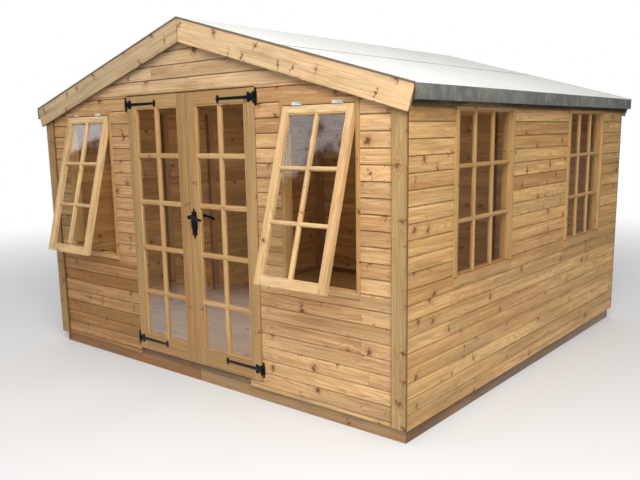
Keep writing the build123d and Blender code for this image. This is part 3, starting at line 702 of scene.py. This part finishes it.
# Floor.
# Rim boards on edge round the base, rough sawn joists between them, and grooved floor boards laid
# from side to side and nailed to the joists.
rim_wood = wood(
    "rim_wood", (0.46, 0.28, 0.14), (0.33, 0.17, 0.07), (0.30, 0.21, 0.11),
    Tint_Amount=0.5, Weather=0.6, Late_Wood=(0.16, 0.07, 0.025),
)
# The side rims sit back under the cladding; their wood is painted dark, as painted shade.
shaded_side_rim_wood = wood(
    "shaded_side_rim_wood", (0.21, 0.12, 0.055), (0.13, 0.06, 0.025), (0.16, 0.11, 0.06),
    Tint_Amount=0.5, Weather=0.8, Late_Wood=(0.07, 0.03, 0.012),
)
# The end rim boards carry painted shade along their edges, and the left one is given a darker tone.
sawn("rim_boards_ends", rim_wood, "rim_timber", 3, rim=0.005, tones=(1.2, 0.4))
sawn("rim_boards_sides", shaded_side_rim_wood, "rim_timber", 4)
# Framing wood is painted darker than the cladding, as painted shade for the dim room.
framing_wood = wood(
    "framing_wood", (0.46, 0.28, 0.13), (0.36, 0.19, 0.075), (0.33, 0.26, 0.11),
    Tint_Amount=0.3, Weather=0.4,
)
sawn("floor_joists", framing_wood, "framing", 5)

floor_wood = wood(
    "floor_wood", (0.60, 0.42, 0.22), (0.50, 0.30, 0.13), (0.42, 0.36, 0.18),
    Tint_Amount=0.35, Weather=0.5,
)
deck_low, deck_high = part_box("floor_deck")
deck_board = 0.0963
deck_groove = 0.0025
joist_pitch = 0.58
deck_count = round((deck_high.y - deck_low.y) / deck_board)
deck_pitch = (deck_high.y - deck_low.y) / deck_count
deck_thick = deck_high.z - deck_low.z
deck_step = deck_thick - deck_groove
near = deck_groove / 2
far = deck_pitch - near
deck_section = section(
    "deck_section",
    [
        (0, near), (deck_step, near), (deck_thick, 2 * deck_groove),
        (deck_thick, deck_pitch - 2 * deck_groove), (deck_step, far), (0, far),
    ],
)
deck_runs = Runs()
chance = Random(8)
for row in range(deck_count):
    y = deck_high.y - row * deck_pitch
    cut = chance.choice([joist_pitch * joist for joist in range(-2, 3)])
    for half, (start, end) in enumerate(((cut - butt_gap, deck_low.x), (deck_high.x, cut + butt_gap))):
        deck_runs.add((start, y, deck_low.z), (end, y, deck_low.z), zenith, board=2 * row + half)
swept_timbers("floor_boards", deck_runs, deck_section, floor_wood, "deck_timber", 29, ("floor_deck",))


# Wall framing.
# Plates, studs and trimmers of sawn softwood on edge, skew nailed together, with the door head
# and its stops planed.
# The bottom plates under the doors sit in shadow; their wood is painted dark, as painted shade.
shaded_plate_wood = wood(
    "shaded_plate_wood", (0.24, 0.145, 0.07), (0.15, 0.08, 0.035), (0.17, 0.13, 0.075),
    Tint_Amount=0.5, Weather=0.8, Late_Wood=(0.07, 0.03, 0.012),
)
sawn("bottom_plates_ends", shaded_plate_wood, "framing", 20)
framing_nodes = (
    "bottom_plates_sides", "top_plates", "gable_plates", "studs_ends", "studs_sides",
    "window_trimmers", "door_head", "door_stops",
)
for seed, node in enumerate(framing_nodes, 21):
    sawn(node, framing_wood, "framing", seed)


# Doors.
# Two framed leaves of planed softwood, stiles through and rails tenoned between them. Glazing bars
# with a rounded face lie on both sides of the glass, and beads pinned round the frame hold it in.
class Face:
    """The plane of a frame or of its glass, from a lower corner: its ways along, up and out."""

    def __init__(self, corner, across, upward, out):
        self.corner, self.across, self.upward, self.out = corner, across, upward, out

    def at(self, x, y, depth=0.0):
        return self.corner + self.across * x + self.upward * y + self.out * depth

    def moved(self, x, y, depth=0.0):
        return Face(self.at(x, y, depth), self.across, self.upward, self.out)

    def upright(self, runs, x, low, high, half, depth=0.0):
        runs.add(self.at(x, low, depth), self.at(x, high, depth), self.out, half)

    def level(self, runs, y, left, right, half, depth=0.0):
        runs.add(self.at(left, y, depth), self.at(right, y, depth), self.out, half)


def eased(name, front, back, steps):
    """A rectangular section that follows the half sizes, its edges rounded to these radii."""
    points = []
    corners = []
    for x, y, first in ((1, 1, 0), (-1, 1, 90), (-1, -1, 180), (1, -1, 270)):
        radius = front if x > 0 else back
        count = steps if x > 0 else 2
        for step in range(count + 1):
            angle = radians(first + 90 * step / count)
            points.append((radius * (cos(angle) - x), radius * (sin(angle) - y)))
            corners.append((x, y))
    return section(name, points, corners)


pane = 0.004
rail_shy = 0.0004
bar_shy = 0.0003
bead_shy = 0.0005


def framed(runs, face, size, thickness, stile, rails):
    """Stiles and rails, the bottom rail first, about the face. Gives the face and size inside."""
    width, height = size
    low, high = rails
    for x in (stile / 2, width - stile / 2):
        face.upright(runs, x, 0, height, (thickness / 2, stile / 2))
    for y, rail in ((low / 2, low), (height - high / 2, high)):
        face.level(runs, y, stile, width - stile, (thickness / 2 - rail_shy, rail / 2))
    return face.moved(stile, low), (width - 2 * stile, height - low - high)


def glazed(bars, beads, face, size, covers, panes, bar_width, bead_width):
    """Bars and beads of one opening about the middle of its glass. covers says how far the bars
    stand off it at the front and at the back, and panes how many there are across and up."""
    width, height = size
    for way, cover in zip((1, -1), covers):
        side = Face(face.corner, face.across, face.upward, way * face.out)
        half = (cover / 2, bar_width / 2)
        for row in range(1, panes[1]):
            side.level(bars, height * row / panes[1], 0, width, half, (pane + cover) / 2)
        for column in range(1, panes[0]):
            side.upright(bars, width * column / panes[0], 0, height, half, (pane + cover) / 2 - bar_shy)
        half = (cover / 2 - bead_shy, bead_width / 2)
        for x in (bead_width / 2, width - bead_width / 2):
            side.upright(beads, x, 0, height, half, pane / 2 + half[0])
        for y in (bead_width / 2, height - bead_width / 2):
            side.level(beads, y, bead_width, width - bead_width, half, pane / 2 + half[0])


planed = eased("planed_section", 0.0020, 0.0020, 2)
bead = eased("bead_section", 0.0035, 0.0006, 4)
bar = eased("bar_section", 0.0090, 0.0006, 6)
few_knots = {"Knot_Share": 0.10, "Knot_Size": 0.007}
door_wood = wood(
    "door_wood", (0.46, 0.29, 0.125), (0.33, 0.18, 0.068), (0.29, 0.22, 0.095),
    Tint_Amount=0.45, Weather=0.25, **few_knots,
)
bar_wood = wood(
    "bar_wood", (0.56, 0.36, 0.175), (0.43, 0.24, 0.092), (0.40, 0.30, 0.12),
    Tint_Amount=0.25, Knot_Share=0.10, Knot_Size=0.006,
)
door_stile = 0.074
door_rails = (0.104, 0.072)
door_covers = (0.0115, 0.0115)
for side, name in ((-1, "left"), (1, "right")):
    low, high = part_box("door_" + name)
    face = Face(Vector((low.x, (low.y + high.y) / 2, low.z)), east, zenith, south)
    frames, bars, beads = Runs(), Runs(), Runs()
    size = (high.x - low.x, high.z - low.z)
    inner, opening = framed(frames, face, size, high.y - low.y, door_stile, door_rails)
    glazed(bars, beads, inner, opening, door_covers, (2, 5), bar_width=0.030, bead_width=0.009)
    for part, runs, profile, material, seed, nodes in (
        ("frame", frames, planed, door_wood, 31, ("door_" + name,)),
        ("bars", bars, bar, bar_wood, 35, ()),
        ("beads", beads, bead, bar_wood, 39, ()),
    ):
        piece = "door_" + part + "_" + name
        swept_timbers(piece, runs, profile, material, "door_timber", seed + side, nodes, name + "_leaf")


# Front windows.
# Fixed frames of planed pine with a rounded sill, and in each a sash hung from its head and held
# open by a stay. The sashes have two columns and three rows of panes between rounded bars.
window_wood = wood(
    "window_wood", (0.60, 0.40, 0.19), (0.47, 0.27, 0.105), (0.44, 0.35, 0.15),
    Tint_Amount=0.3, **few_knots,
)
# The fixed frames are painted darker than the sills, as painted shade beside the open sashes.
frame_wood = wood(
    "frame_wood", (0.50, 0.31, 0.13), (0.38, 0.205, 0.075), (0.36, 0.275, 0.11),
    Tint_Amount=0.3, **few_knots,
)
# The sashes are painted lighter, as painted light on their upturned faces.
sash_wood = wood(
    "sash_wood", (0.76, 0.55, 0.31), (0.60, 0.38, 0.18), (0.55, 0.47, 0.25),
    Tint_Amount=0.3, **few_knots,
)
head_shy = 0.0005


def cased(frames, sills, face, size, depth, jamb, head, sill):
    """Jambs and head of a fixed frame over its sill, from the face at its back."""
    width, height = size
    for x in (jamb / 2, width - jamb / 2):
        face.upright(frames, x, sill, height, (depth / 2, jamb / 2), depth / 2)
    half = (depth / 2 - head_shy, head / 2)
    face.level(frames, height - head / 2, jamb, width - jamb, half, depth / 2)
    face.level(sills, 0, 0, width, (0, 0))


frame_face = -1.510
frame_depth = frame_back - frame_face
jamb = 0.020
head = 0.028
sill = 0.027
sill_nose = 0.006
sill_round = 0.005
sill_arris = 0.0015
nose = frame_depth + sill_nose
sill_section = section(
    "sill_section",
    [
        (0, 0), (0, sill), (nose - sill_round, sill), (nose - sill_arris, sill - sill_arris),
        (nose, sill - sill_round), (nose, sill_round), (nose - sill_arris, sill_arris),
        (nose - sill_round, 0),
    ],
)
frames, sills = Runs(), Runs()
for left in (-window_outer, window_inner):
    face = Face(Vector((left, frame_back, window_low)), east, zenith, south)
    size = (window_outer - window_inner, window_high - window_low)
    cased(frames, sills, face, size, frame_depth, jamb, head, sill)
swept_timbers("front_frames", frames, planed, frame_wood, "window_timber", 51, ("front_window_frames",))
swept_timbers("front_sills", sills, sill_section, window_wood, "window_timber", 52)

sash_thickness = 0.034
sash_stile = 0.038
sash_rails = (0.045, 0.038)
sash_covers = (0.0130, 0.0130)
sash_gap = 0.003
sash_width = 0.451
sash_height = window_high - head - window_low - sill - 2 * sash_gap
knuckle_out = 0.0035
frames, bars, beads = Runs(), Runs(), Runs()
for side, angle in ((-1, radians(14.5)), (1, radians(16))):
    out = Vector((0, -cos(angle), sin(angle)))
    upward = Vector((0, sin(angle), cos(angle)))
    middle = side * (window_inner + window_outer) / 2
    knuckle = Vector((middle, frame_face - knuckle_out, window_high - head))
    face = Face(knuckle, east, upward, out)
    face = face.moved(-sash_width / 2, -sash_gap - sash_height, -knuckle_out - sash_thickness / 2)
    size = (sash_width, sash_height)
    inner, opening = framed(frames, face, size, sash_thickness, sash_stile, sash_rails)
    glazed(bars, beads, inner, opening, sash_covers, (2, 3), bar_width=0.022, bead_width=0.007)
swept_timbers("sash_frames", frames, planed, sash_wood, "window_timber", 53, ("front_window_sashes",))
swept_timbers("sash_bars", bars, bar, sash_wood, "window_timber", 54)
swept_timbers("sash_beads", beads, bead, sash_wood, "window_timber", 55)


# Side windows.
# Two fixed frames of planed pine in the right wall, with a sloped sill, three columns and three
# rows of panes, rounded bars on both sides of the glass and beads round it.
side_wood = wood(
    "side_wood", (0.50, 0.31, 0.13), (0.36, 0.195, 0.07), (0.34, 0.26, 0.105),
    Tint_Amount=0.4, **few_knots,
)
side_jamb = 0.026
side_head = 0.040
side_sill = 0.050
side_slope = 0.008
side_nose = side_sill - side_slope
side_arris = 0.002
side_depth = side_face - side_back
side_covers = (0.009, 0.014)
side_glass_x = 1.486
glass_depth = side_glass_x - side_back
glass_set = glass_depth + pane / 2
side_sill_section = section(
    "side_sill_section",
    [
        (0, 0), (0, side_sill), (glass_set, side_sill), (side_depth - side_arris, side_nose),
        (side_depth, side_nose - side_arris), (side_depth, side_arris), (side_depth - side_arris, 0),
    ],
)
frames, sills, bars, beads = Runs(), Runs(), Runs(), Runs()
for start in (-side_far, side_near):
    face = Face(Vector((side_back, start, side_low)), north, zenith, east)
    size = (side_far - side_near, side_high - side_low)
    cased(frames, sills, face, size, side_depth, side_jamb, side_head, side_sill)
    inner = face.moved(side_jamb, side_sill, glass_depth)
    opening = (size[0] - 2 * side_jamb, size[1] - side_sill - side_head)
    glazed(bars, beads, inner, opening, side_covers, (3, 3), bar_width=0.022, bead_width=0.007)
swept_timbers("side_frames", frames, planed, side_wood, "window_timber", 61, ("side_window_frames",))
swept_timbers("side_sills", sills, side_sill_section, side_wood, "window_timber", 62)
swept_timbers("side_bars", bars, bar, side_wood, "window_timber", 63)
swept_timbers("side_beads", beads, bead, side_wood, "window_timber", 64)


# Glass.
# Plain clear float glass, 4 mm, one sheet behind the bars of each leaf, sash and fixed frame.
# Light for the room passes straight through it.
glass, tree, surface = finish("clear_glass")
tree.fill(
    surface, Base_Color=(0.96, 0.98, 0.96), Transmission_Weight=1.0, Roughness=0.0, IOR=1.45,
    Specular_IOR_Level=0.5, Normal=tree.bump(tree.noise(tree.place(), 3.0, 1.0), 0.05, 0.01),
)
seen = tree.node("ShaderNodeLightPath").outputs
through = tree.node("ShaderNodeBsdfTransparent", {"Color": (0.98, 0.93, 0.86)}).outputs[0]
indirect = tree.maths("MAXIMUM", seen["Is Shadow Ray"], seen["Is Diffuse Ray"])
tree.show(tree.mixed(indirect, surface.outputs[0], through))
for node in ("door_left_glass", "door_right_glass", "front_window_glass", "side_window_glass"):
    mesh = frame["nodes"][node].data
    mesh.materials.clear()
    mesh.materials.append(glass)


# Roof timber.
# Grooved boards laid along the building on a ridge beam and two purlins, a fascia along each eave
# with a strip under it, both painted near black as painted shade under the eave, and a bargeboard on
# each slope of both gables.
roof_wood = wood(
    "roof_wood", (0.60, 0.41, 0.21), (0.50, 0.29, 0.12), (0.42, 0.35, 0.17), Tint_Amount=0.3,
)
roof_thick = 0.012
roof_groove = 0.0022
slope_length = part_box("roof_boards_right")[1].x / cos(roof_pitch)
board_count = 17
board_pitch = (slope_length - roof_gap) / board_count
near = roof_groove / 2
far = board_pitch - near
lining_section = section(
    "lining_section",
    [
        (0, 2 * roof_groove), (roof_groove, near), (roof_thick, near), (roof_thick, far), (roof_groove, far),
        (0, board_pitch - 2 * roof_groove),
    ],
)
roof_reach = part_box("roof_boards_right")[1].y
ridge_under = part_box("front_gable")[1].z
lining = Runs()
for side in (-1, 1):
    out = Vector((side * sin(roof_pitch), 0, cos(roof_pitch)))
    for row in range(board_count):
        x = (slope_length - row * board_pitch) * cos(roof_pitch)
        start = Vector((side * x, -side * roof_reach, ridge_under - roof_slope * x))
        lining.add(start, start + north * (2 * side * roof_reach), out)
lining_nodes = ("roof_boards_left", "roof_boards_right")
swept_timbers("roof_lining", lining, lining_section, roof_wood, "roof_timber", 71, lining_nodes)
sawn("ridge_beam", framing_wood, "framing", 41)
sawn("purlins", framing_wood, "framing", 42)
# The fascias and the strips below them are painted near black, as painted shade under the eave.
fascia_shade_wood = wood(
    "fascia_shade_wood", (0.075, 0.045, 0.025), (0.04, 0.024, 0.014), (0.05, 0.035, 0.022),
    Tint_Amount=0.5, Weather=0.8, Late_Wood=(0.02, 0.01, 0.006),
)
sawn("eave_fascias", fascia_shade_wood, "roof_timber", 43)
# Dark strips under the fascias, standing for the shadow under the eave.
shade_strips = Runs()
strip_half = 0.011
strip_drop = 0.020
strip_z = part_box("eave_fascias")[0].z - strip_drop + strip_half
strip_x = 1.520
for side in (-1, 1):
    start = Vector((side * strip_x, -side * wall_half, strip_z))
    shade_strips.add(start, start + north * (2 * side * wall_half), east * side, (strip_half, strip_half))
swept_timbers("eave_battens", shade_strips, planed, fascia_shade_wood, "roof_timber", 74)
barge_wood = wood(
    "barge_wood", (0.73, 0.50, 0.28), (0.42, 0.33, 0.20), (0.47, 0.38, 0.23),
    Tint_Amount=0.4, Rings=18.0, Ring_Strength=0.12, Knot_Share=0.80, Knot_Size=0.0075,
)
# The bargeboards carry painted shade along their edges.
sawn("bargeboards_front", barge_wood, "barge_timber", 44, rim=0.008, tones=(0.95, 0.05))
sawn("bargeboards_back", barge_wood, "barge_timber", 45, rim=0.008, tones=(0.4, 0.6))


# Roof felt.
# Pale mineral felt in two strips a slope, the upper one lapped over the lower, turned down over the
# eave fascias and folded over the edges of the bargeboards. Bitumen shows dark at the folds.
felt, tree, surface = finish("mineral_felt")
grit = tree.noise(tree.place(), 700.0, 2.0, 0.7)
cloud = tree.noise(tree.place(), 2.2, 3.0, 0.6)
chalk = tree.noise(tree.place(), 14.0, 4.0, 0.7)
laid = tree.blend(grit, (0.62, 0.64, 0.625), (0.84, 0.86, 0.845))
# The felt turned down over the fascias is painted darker than the laid felt, as painted shade.
turned = tree.blend(grit, (0.05, 0.056, 0.048), (0.15, 0.162, 0.14))
turned = tree.blend(tree.ramp(chalk, 0.38, 0.78), turned, (0.20, 0.212, 0.19))
folded = tree.blend(grit, (0.085, 0.060, 0.040), (0.21, 0.165, 0.12))
colour = tree.blend(tree.ramp(tree.mark("tone"), 0.0, 0.5), laid, turned)
colour = tree.blend(tree.ramp(tree.mark("tone"), 0.5, 1.0), colour, folded)
stain = tree.times(tree.ramp(cloud, 0.45, 0.75), 0.12)
colour = tree.blend(stain, colour, (0.34, 0.35, 0.32))
tree.fill(surface, Base_Color=colour, Roughness=0.9, Normal=tree.bump(grit, 0.5, 0.0012))

felt_low, felt_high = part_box("roof_felt_right")
felt_inset = 0.0022
eave_gap = 0.0003
felt_end = felt_high.y - felt_inset
felt_thick = 0.0016
felt_steps = 40
felt_ripple = 0.0003
ridge_top = felt_high.z
eave_x = felt_high.x
eave_z = ridge_top - roof_slope * eave_x
lap_x = 0.785
lap_width = 0.06
lower_drop = 0.0014
upper_drop = 0.0001
cut_drop = 0.0006


def felt_sheet(name, side, line, nodes, dark_from, seed, edge=None):
    """A sheet of felt along the roof. line is the section of its top, as distance out and height,
    from the ridge side down; points from dark_from on are turned down out of the light, and the
    point numbered edge is a cut edge, painted dark as its bitumen and as painted shade in the gap at the
    lap."""
    chance = Random(seed)
    shape = bmesh.new()
    tone = shape.verts.layers.float.new("tone")
    last = len(line) - 1
    under = []
    for i, (x, z) in enumerate(line):
        way = (Vector(line[min(i + 1, last)]) - Vector(line[max(i - 1, 0)])).normalized()
        under.append((x + felt_thick * way.y, z - felt_thick * way.x, i))
    ring = [(x, z, i) for i, (x, z) in enumerate(line)] + under[::-1]
    sweeps = []
    for step in range(felt_steps + 1):
        y = felt_end - 2 * felt_end * step / felt_steps
        ripple = chance.uniform(-felt_ripple, felt_ripple)
        row = []
        for x, z, i in ring:
            vert = shape.verts.new((side * x, -side * y, z + (ripple if 0 < i < dark_from - 1 else 0)))
            vert[tone] = 0.8 if i == edge else 0.5 if i >= dark_from else 0.0
            row.append(vert)
        sweeps.append(row)
    count = len(ring)
    for near, far in zip(sweeps, sweeps[1:]):
        for i in range(count):
            shape.faces.new((near[i], near[(i + 1) % count], far[(i + 1) % count], far[i]))
    for row in (sweeps[0], sweeps[-1]):
        for i in range(last):
            shape.faces.new((row[i], row[i + 1], row[count - 2 - i], row[count - 1 - i]))
    shaped(shape, name, felt, "roof_felt", nodes, smooth=40)


def slope_point(x, drop):
    """A point of the roof's top, this far below the highest layer."""
    return (x - drop * sin(roof_pitch), ridge_top - roof_slope * x - drop * cos(roof_pitch))


for side, name in ((-1, "left"), (1, "right")):
    lower = [slope_point(x, lower_drop) for x in (lap_x - lap_width, 0.95, 1.10, 1.25, 1.40, 1.52)]
    lower += [
        (eave_x - 0.0045, eave_z - 0.0005), (eave_x - 0.0016, eave_z - 0.0016),
        (eave_x - eave_gap, eave_z - 0.0045), (eave_x - eave_gap, felt_low.z + 0.001),
    ]
    felt_sheet("felt_lower_" + name, side, lower, ("roof_felt_" + name,), 8, 5 + side)
    upper = [slope_point(x, upper_drop) for x in (0.0012, 0.06, 0.20, 0.35, 0.50, 0.65, lap_x - 0.012)]
    upper.append(slope_point(lap_x, cut_drop))
    felt_sheet("felt_upper_" + name, side, upper, (), 9, 15 + side, 7)


# Felt folded over the bargeboards.
# The edge of the same felt, turned down and nailed along the top of each bargeboard, its dark
# underside showing.
fold = 0.009
fold_gap = 0.0004
fold_y = felt_high.y - fold_gap
shape = bmesh.new()
tone = shape.verts.layers.float.new("tone")
for way in (-1, 1):
    for side in (-1, 1):
        corners = []
        for x in (0.0, eave_x - eave_gap):
            top = slope_point(x, 0.0)[1]
            for y in (fold_y - felt_thick, fold_y):
                corners += [shape.verts.new((side * x, way * y, z)) for z in (top, top - fold)]
        for vert in corners:
            vert[tone] = 1.0
        for ring in ((0, 1, 3, 2), (4, 5, 7, 6), (0, 1, 5, 4), (2, 3, 7, 6), (0, 2, 6, 4), (1, 3, 7, 5)):
            shape.faces.new([corners[i] for i in ring])
shaped(shape, "felt_folds", felt, "roof_felt", (), smooth=40)


# Door furniture and window fittings.
# Strap hinges, hinge plates, lever handle and stays of wrought black iron with a hammered face,
# and butt hinges of zinc plated steel at the heads of the sashes, all screwed on.
iron, tree, surface = finish("black_iron")
dents = tree.cells(tree.place(), 150.0)["Distance"]
worn = tree.noise(tree.place(), 60.0, 3.0, 0.6)
tree.fill(
    surface, Base_Color=tree.blend(tree.ramp(worn, 0.5, 0.8), (0.006, 0.006, 0.0065), (0.022, 0.020, 0.019)),
    Roughness=tree.times(worn, 0.3, 0.18), Specular_IOR_Level=0.10, Normal=tree.bump(dents, 0.8, 0.0015),
)
zinc, tree, surface = finish("zinc_plate")
spangle = {"Color": tree.cells(tree.place(), 220.0)["Color"]}
spangle = tree.node("ShaderNodeSeparateColor", spangle).outputs[0]
tree.fill(
    surface, Base_Color=tree.blend(spangle, (0.62, 0.63, 0.64), (0.76, 0.77, 0.78)),
    Roughness=tree.times(spangle, 0.15, 0.3), Metallic=0.9,
)
for node, material, slot, body, bevel in (
    ("door_left_straps", iron, "black_iron", "left_leaf", 0.0005),
    ("door_right_straps", iron, "black_iron", "right_leaf", 0.0005),
    ("door_handle", iron, "black_iron", "right_leaf", 0.0005),
    ("hinge_plates", iron, "black_iron", "shell", 0.0005),
    ("window_stays", iron, "black_iron", "shell", 0.0005),
    ("sash_hinges", zinc, "zinc", "shell", 0.0003),
):
    shape = clean_copy(node)
    shaped(shape, node + "_metal", material, slot, (node,), smooth=35, bevel=bevel, past=35, body=body)


# Nails and screws.
# Round nail heads driven flush through each board into the studs, and domed screw heads through
# the straps, the hinge plates and the handle plate.
tree, given, result = open_group(
    "round_heads", "GeometryNodeTree",
    {"Points": "Geometry", "Material": "Material", "Radius": "Float", "Rise": "Float"},
    {"Geometry": "Geometry"},
)
dome = tree.node("GeometryNodeMeshUVSphere", {"Segments": 10, "Rings": 6, "Radius": 1.0})
points = tree.node("GeometryNodeMeshToPoints", {"Mesh": given["Points"]})
facing = {"Vector": tree.named("out")}
facing = tree.node("FunctionNodeAlignRotationToVector", facing, axis="Z")
placed = {
    "Points": points.outputs[0], "Instance": dome.outputs["Mesh"], "Rotation": facing.outputs[0],
    "Scale": tree.joined(given["Radius"], given["Radius"], given["Rise"]),
}
placed = tree.node("GeometryNodeInstanceOnPoints", placed).outputs[0]
tree.fill(result, Geometry=tree.realized(placed, given["Material"]))


def heads(name, spots, material, slot, radius, rise, body="shell"):
    """Domed heads at these (point, outward) spots."""
    mesh = bpy.data.meshes.new(name + "_spots")
    mesh.from_pydata([point for point, _ in spots], [], [])
    mark_points(mesh, "out", [value for _, out in spots for value in out])
    inputs = {"Material": material, "Radius": radius, "Rise": rise}
    place_piece(grown(name, mesh, "round_heads", inputs), body, slot, ())


nail, tree, surface = finish("nail_steel")
rust = tree.ramp(tree.noise(tree.place(), 300.0, 2.0), 0.4, 0.6)
rusty = tree.blend(rust, (0.10, 0.08, 0.07), (0.07, 0.035, 0.02))
tree.fill(surface, Base_Color=rusty, Roughness=0.6, Metallic=0.6)
chance = Random(12)
nail_out = 0.0136
nail_lift = 0.020
stray_up = 0.003
stray_along = 0.004
clear_of_top = 0.03
clear_of_roof = 0.05
spots = []


def nail_column(out, along, top, openings=(), boards=side_boards):
    """A nail in every course at this distance along a wall, where there is a board."""
    _, course, first_line = boards
    for row in range(int((top - first_line) / course)):
        height = first_line + row * course + nail_lift + chance.uniform(-stray_up, stray_up)
        at = along + chance.uniform(-stray_along, stray_along)
        missed = any(left < at < right and low < height < high for left, right, low, high in openings)
        if height <= top - clear_of_top and not missed:
            spots.append((on_wall(out, at, height) + out * nail_out, out))


front_studs = (1.392, 0.577, 0.715, 1.254)
right_studs = (1.480, 1.102, 0.394)
left_pitch = 0.488
back_pitch = 0.467
for at in front_studs:
    for side in (-1, 1):
        top = roof_under - roof_slope * at - clear_of_roof
        nail_column(south, side * at, top, front_openings, front_boards)
for at in right_studs:
    for side in (-1, 1):
        nail_column(east, side * at, side_top, side_openings)
for bay in range(-3, 4):
    nail_column(-east, bay * left_pitch, side_top)
    at = bay * back_pitch
    nail_column(north, at, roof_under - roof_slope * abs(at) - clear_of_roof)
heads("cladding_nails", spots, nail, "zinc", radius=0.0023, rise=0.0010)

pin_x = 0.552
strap_face = -1.5075
strap_root = 0.027
strap_screws = ((0.039, 0.018), (0.039, -0.018), (0.020, 0.0), (0.150, 0.0), (0.275, 0.011), (0.275, -0.011))
plate_x = 0.563
plate_face = -1.503
plate_screw = 0.040
handle_x = 0.0395
handle_z = 0.978
handle_screw = 0.070
handle_faces = ((-1.508, south), (-1.468, -south))
strap_low, strap_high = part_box("door_right_straps")
wall_spots = []
for side, leaf in ((-1, "left"), (1, "right")):
    spots = []
    for z in (strap_low.z + strap_root, strap_high.z - strap_root):
        for reach, rise in strap_screws:
            spots.append((Vector((side * (pin_x - reach), strap_face, z + rise)), south))
        for rise in (-plate_screw, plate_screw):
            wall_spots.append((Vector((side * plate_x, plate_face, z + rise)), south))
    if side > 0:
        for rise in (-handle_screw, handle_screw):
            spots += [(Vector((handle_x, y, handle_z + rise)), out) for y, out in handle_faces]
    heads("screws_" + leaf, spots, iron, "black_iron", radius=0.0042, rise=0.0016, body=leaf + "_leaf")
heads("screws_wall", wall_spots, iron, "black_iron", radius=0.0038, rise=0.0014)


# Floor of the picture, and light.
# A plain pale floor that fades into an even white surround, a large soft lamp and a faint one in the
# room. Reflections see dark, but for a pale band overhead and sunlit ground near the building.
floor_half = 60
corners = [(x * floor_half, y * floor_half, 0) for x, y in ((-1, -1), (1, -1), (1, 1), (-1, 1))]
floor_mesh = bpy.data.meshes.new("stage_floor")
floor_mesh.from_pydata(corners, [], [(0, 1, 2, 3)])
pale, tree, surface = finish("stage_pale")
seen = tree.node("ShaderNodeLightPath").outputs
away = tree.vector("LENGTH", tree.place())
mirrored = tree.maths("MINIMUM", seen["Glossy Depth"], 1.0)
beyond = tree.times(tree.ramp(away, 2.6, 4.2), mirrored)
glare = tree.times(tree.ramp(away, 4.2, 2.6), mirrored)
fade = tree.times(tree.ramp(away, 3.0, 9.0), seen["Is Camera Ray"])
tree.fill(surface, Base_Color=tree.blend(beyond, (0.78, 0.80, 0.84), (0.03, 0.03, 0.026)), Roughness=0.9)
white = tree.node("ShaderNodeEmission", {"Color": (1, 1, 1), "Strength": 1.0}).outputs[0]
sunlit = tree.node("ShaderNodeEmission", {"Color": (0.95, 0.98, 1.0), "Strength": 1.6}).outputs[0]
tree.show(tree.mixed(glare, tree.mixed(fade, surface.outputs[0], white), sunlit))
floor_mesh.materials.append(pale)
into_scene("stage_floor", floor_mesh)

world = bpy.data.worlds.new("surround")
bpy.context.scene.world = world
world.use_nodes = True
sky = Tree(world.node_tree)
soft = world.node_tree.nodes["Background"]
sky.fill(soft, Color=(1.0, 0.985, 0.955), Strength=0.56)
bright = sky.node("ShaderNodeBackground", {"Color": (1, 1, 1), "Strength": 1.0})
upward = sky.split(sky.place())
tilted = sky.times(upward[0], -0.6, upward[2])
tilted = sky.times(sky.noise(sky.place(), 9.0, 5.0, 0.7), 0.3, tilted)
glow = sky.times(sky.ramp(tilted, 0.895, 0.930), 2.5, 0.03)
dim = sky.node("ShaderNodeBackground", {"Color": (0.93, 0.96, 1.0), "Strength": glow})
seen = sky.node("ShaderNodeLightPath").outputs
mirrored = sky.maths("MINIMUM", seen["Glossy Depth"], 1.0)
direct = sky.maths("MAXIMUM", seen["Is Camera Ray"], seen["Is Transmission Ray"])
plain = sky.mixed(direct, soft.outputs[0], bright.outputs[0])
sky.show(sky.mixed(mirrored, plain, dim.outputs[0]), "World Output")

lamp = bpy.data.lights.new("soft_lamp", "AREA")
lamp.shape = "DISK"
lamp.size = 4.0
lamp.energy = 425.0
lamp.color = (1.0, 0.965, 0.91)
lamp_object = into_scene("soft_lamp", lamp)
lamp_object.location = (4.0, -4.8, 5.0)
lamp_object.rotation_euler = (zenith - lamp_object.location).to_track_quat("-Z", "Y").to_euler()

room_lamp = bpy.data.lights.new("room_lamp", "POINT")
room_lamp.shadow_soft_size = 0.4
room_lamp.energy = 19.0
room_lamp.color = (1.0, 0.90, 0.80)
room_object = into_scene("room_lamp", room_lamp)
room_object.location = (0.0, -0.1, 1.25)
room_object.visible_camera = False
room_object.visible_glossy = False
room_object.visible_transmission = False


# Camera.
# It stands ahead and to the right of the building, at a person's height, and looks a little down.
picture_width = 640
picture_height = 480
focal_length = 704.57
axis_x = 308.76
axis_y = 260.02
camera_data = bpy.data.cameras.new("camera")
camera_data.sensor_width = 36.0
camera_data.sensor_fit = "HORIZONTAL"
camera_data.lens = focal_length / picture_width * camera_data.sensor_width
camera_data.shift_x = (picture_width / 2 - axis_x) / picture_width
camera_data.shift_y = (axis_y - picture_height / 2) / picture_width
camera_data.dof.use_dof = False
camera = into_scene("camera", camera_data)
yaw = radians(40.29)
pitch = radians(-10.13)
roll = -0.0192
ahead = Vector((-sin(yaw) * cos(pitch), cos(yaw) * cos(pitch), sin(pitch)))
level = Vector((cos(yaw), sin(yaw), 0))
upright = level.cross(ahead)
right = level * cos(roll) + upright * sin(roll)
up = upright * cos(roll) - level * sin(roll)
turn = Matrix((right, up, -ahead)).transposed().to_4x4()
camera.matrix_world = Matrix.Translation((3.1974, -4.2036, 1.4802)) @ turn
bpy.context.scene.camera = camera
bpy.context.scene.view_settings.view_transform = "Standard"

for profile in [item for item in bpy.data.objects if item.name.endswith("_section")]:
    bpy.data.objects.remove(profile)
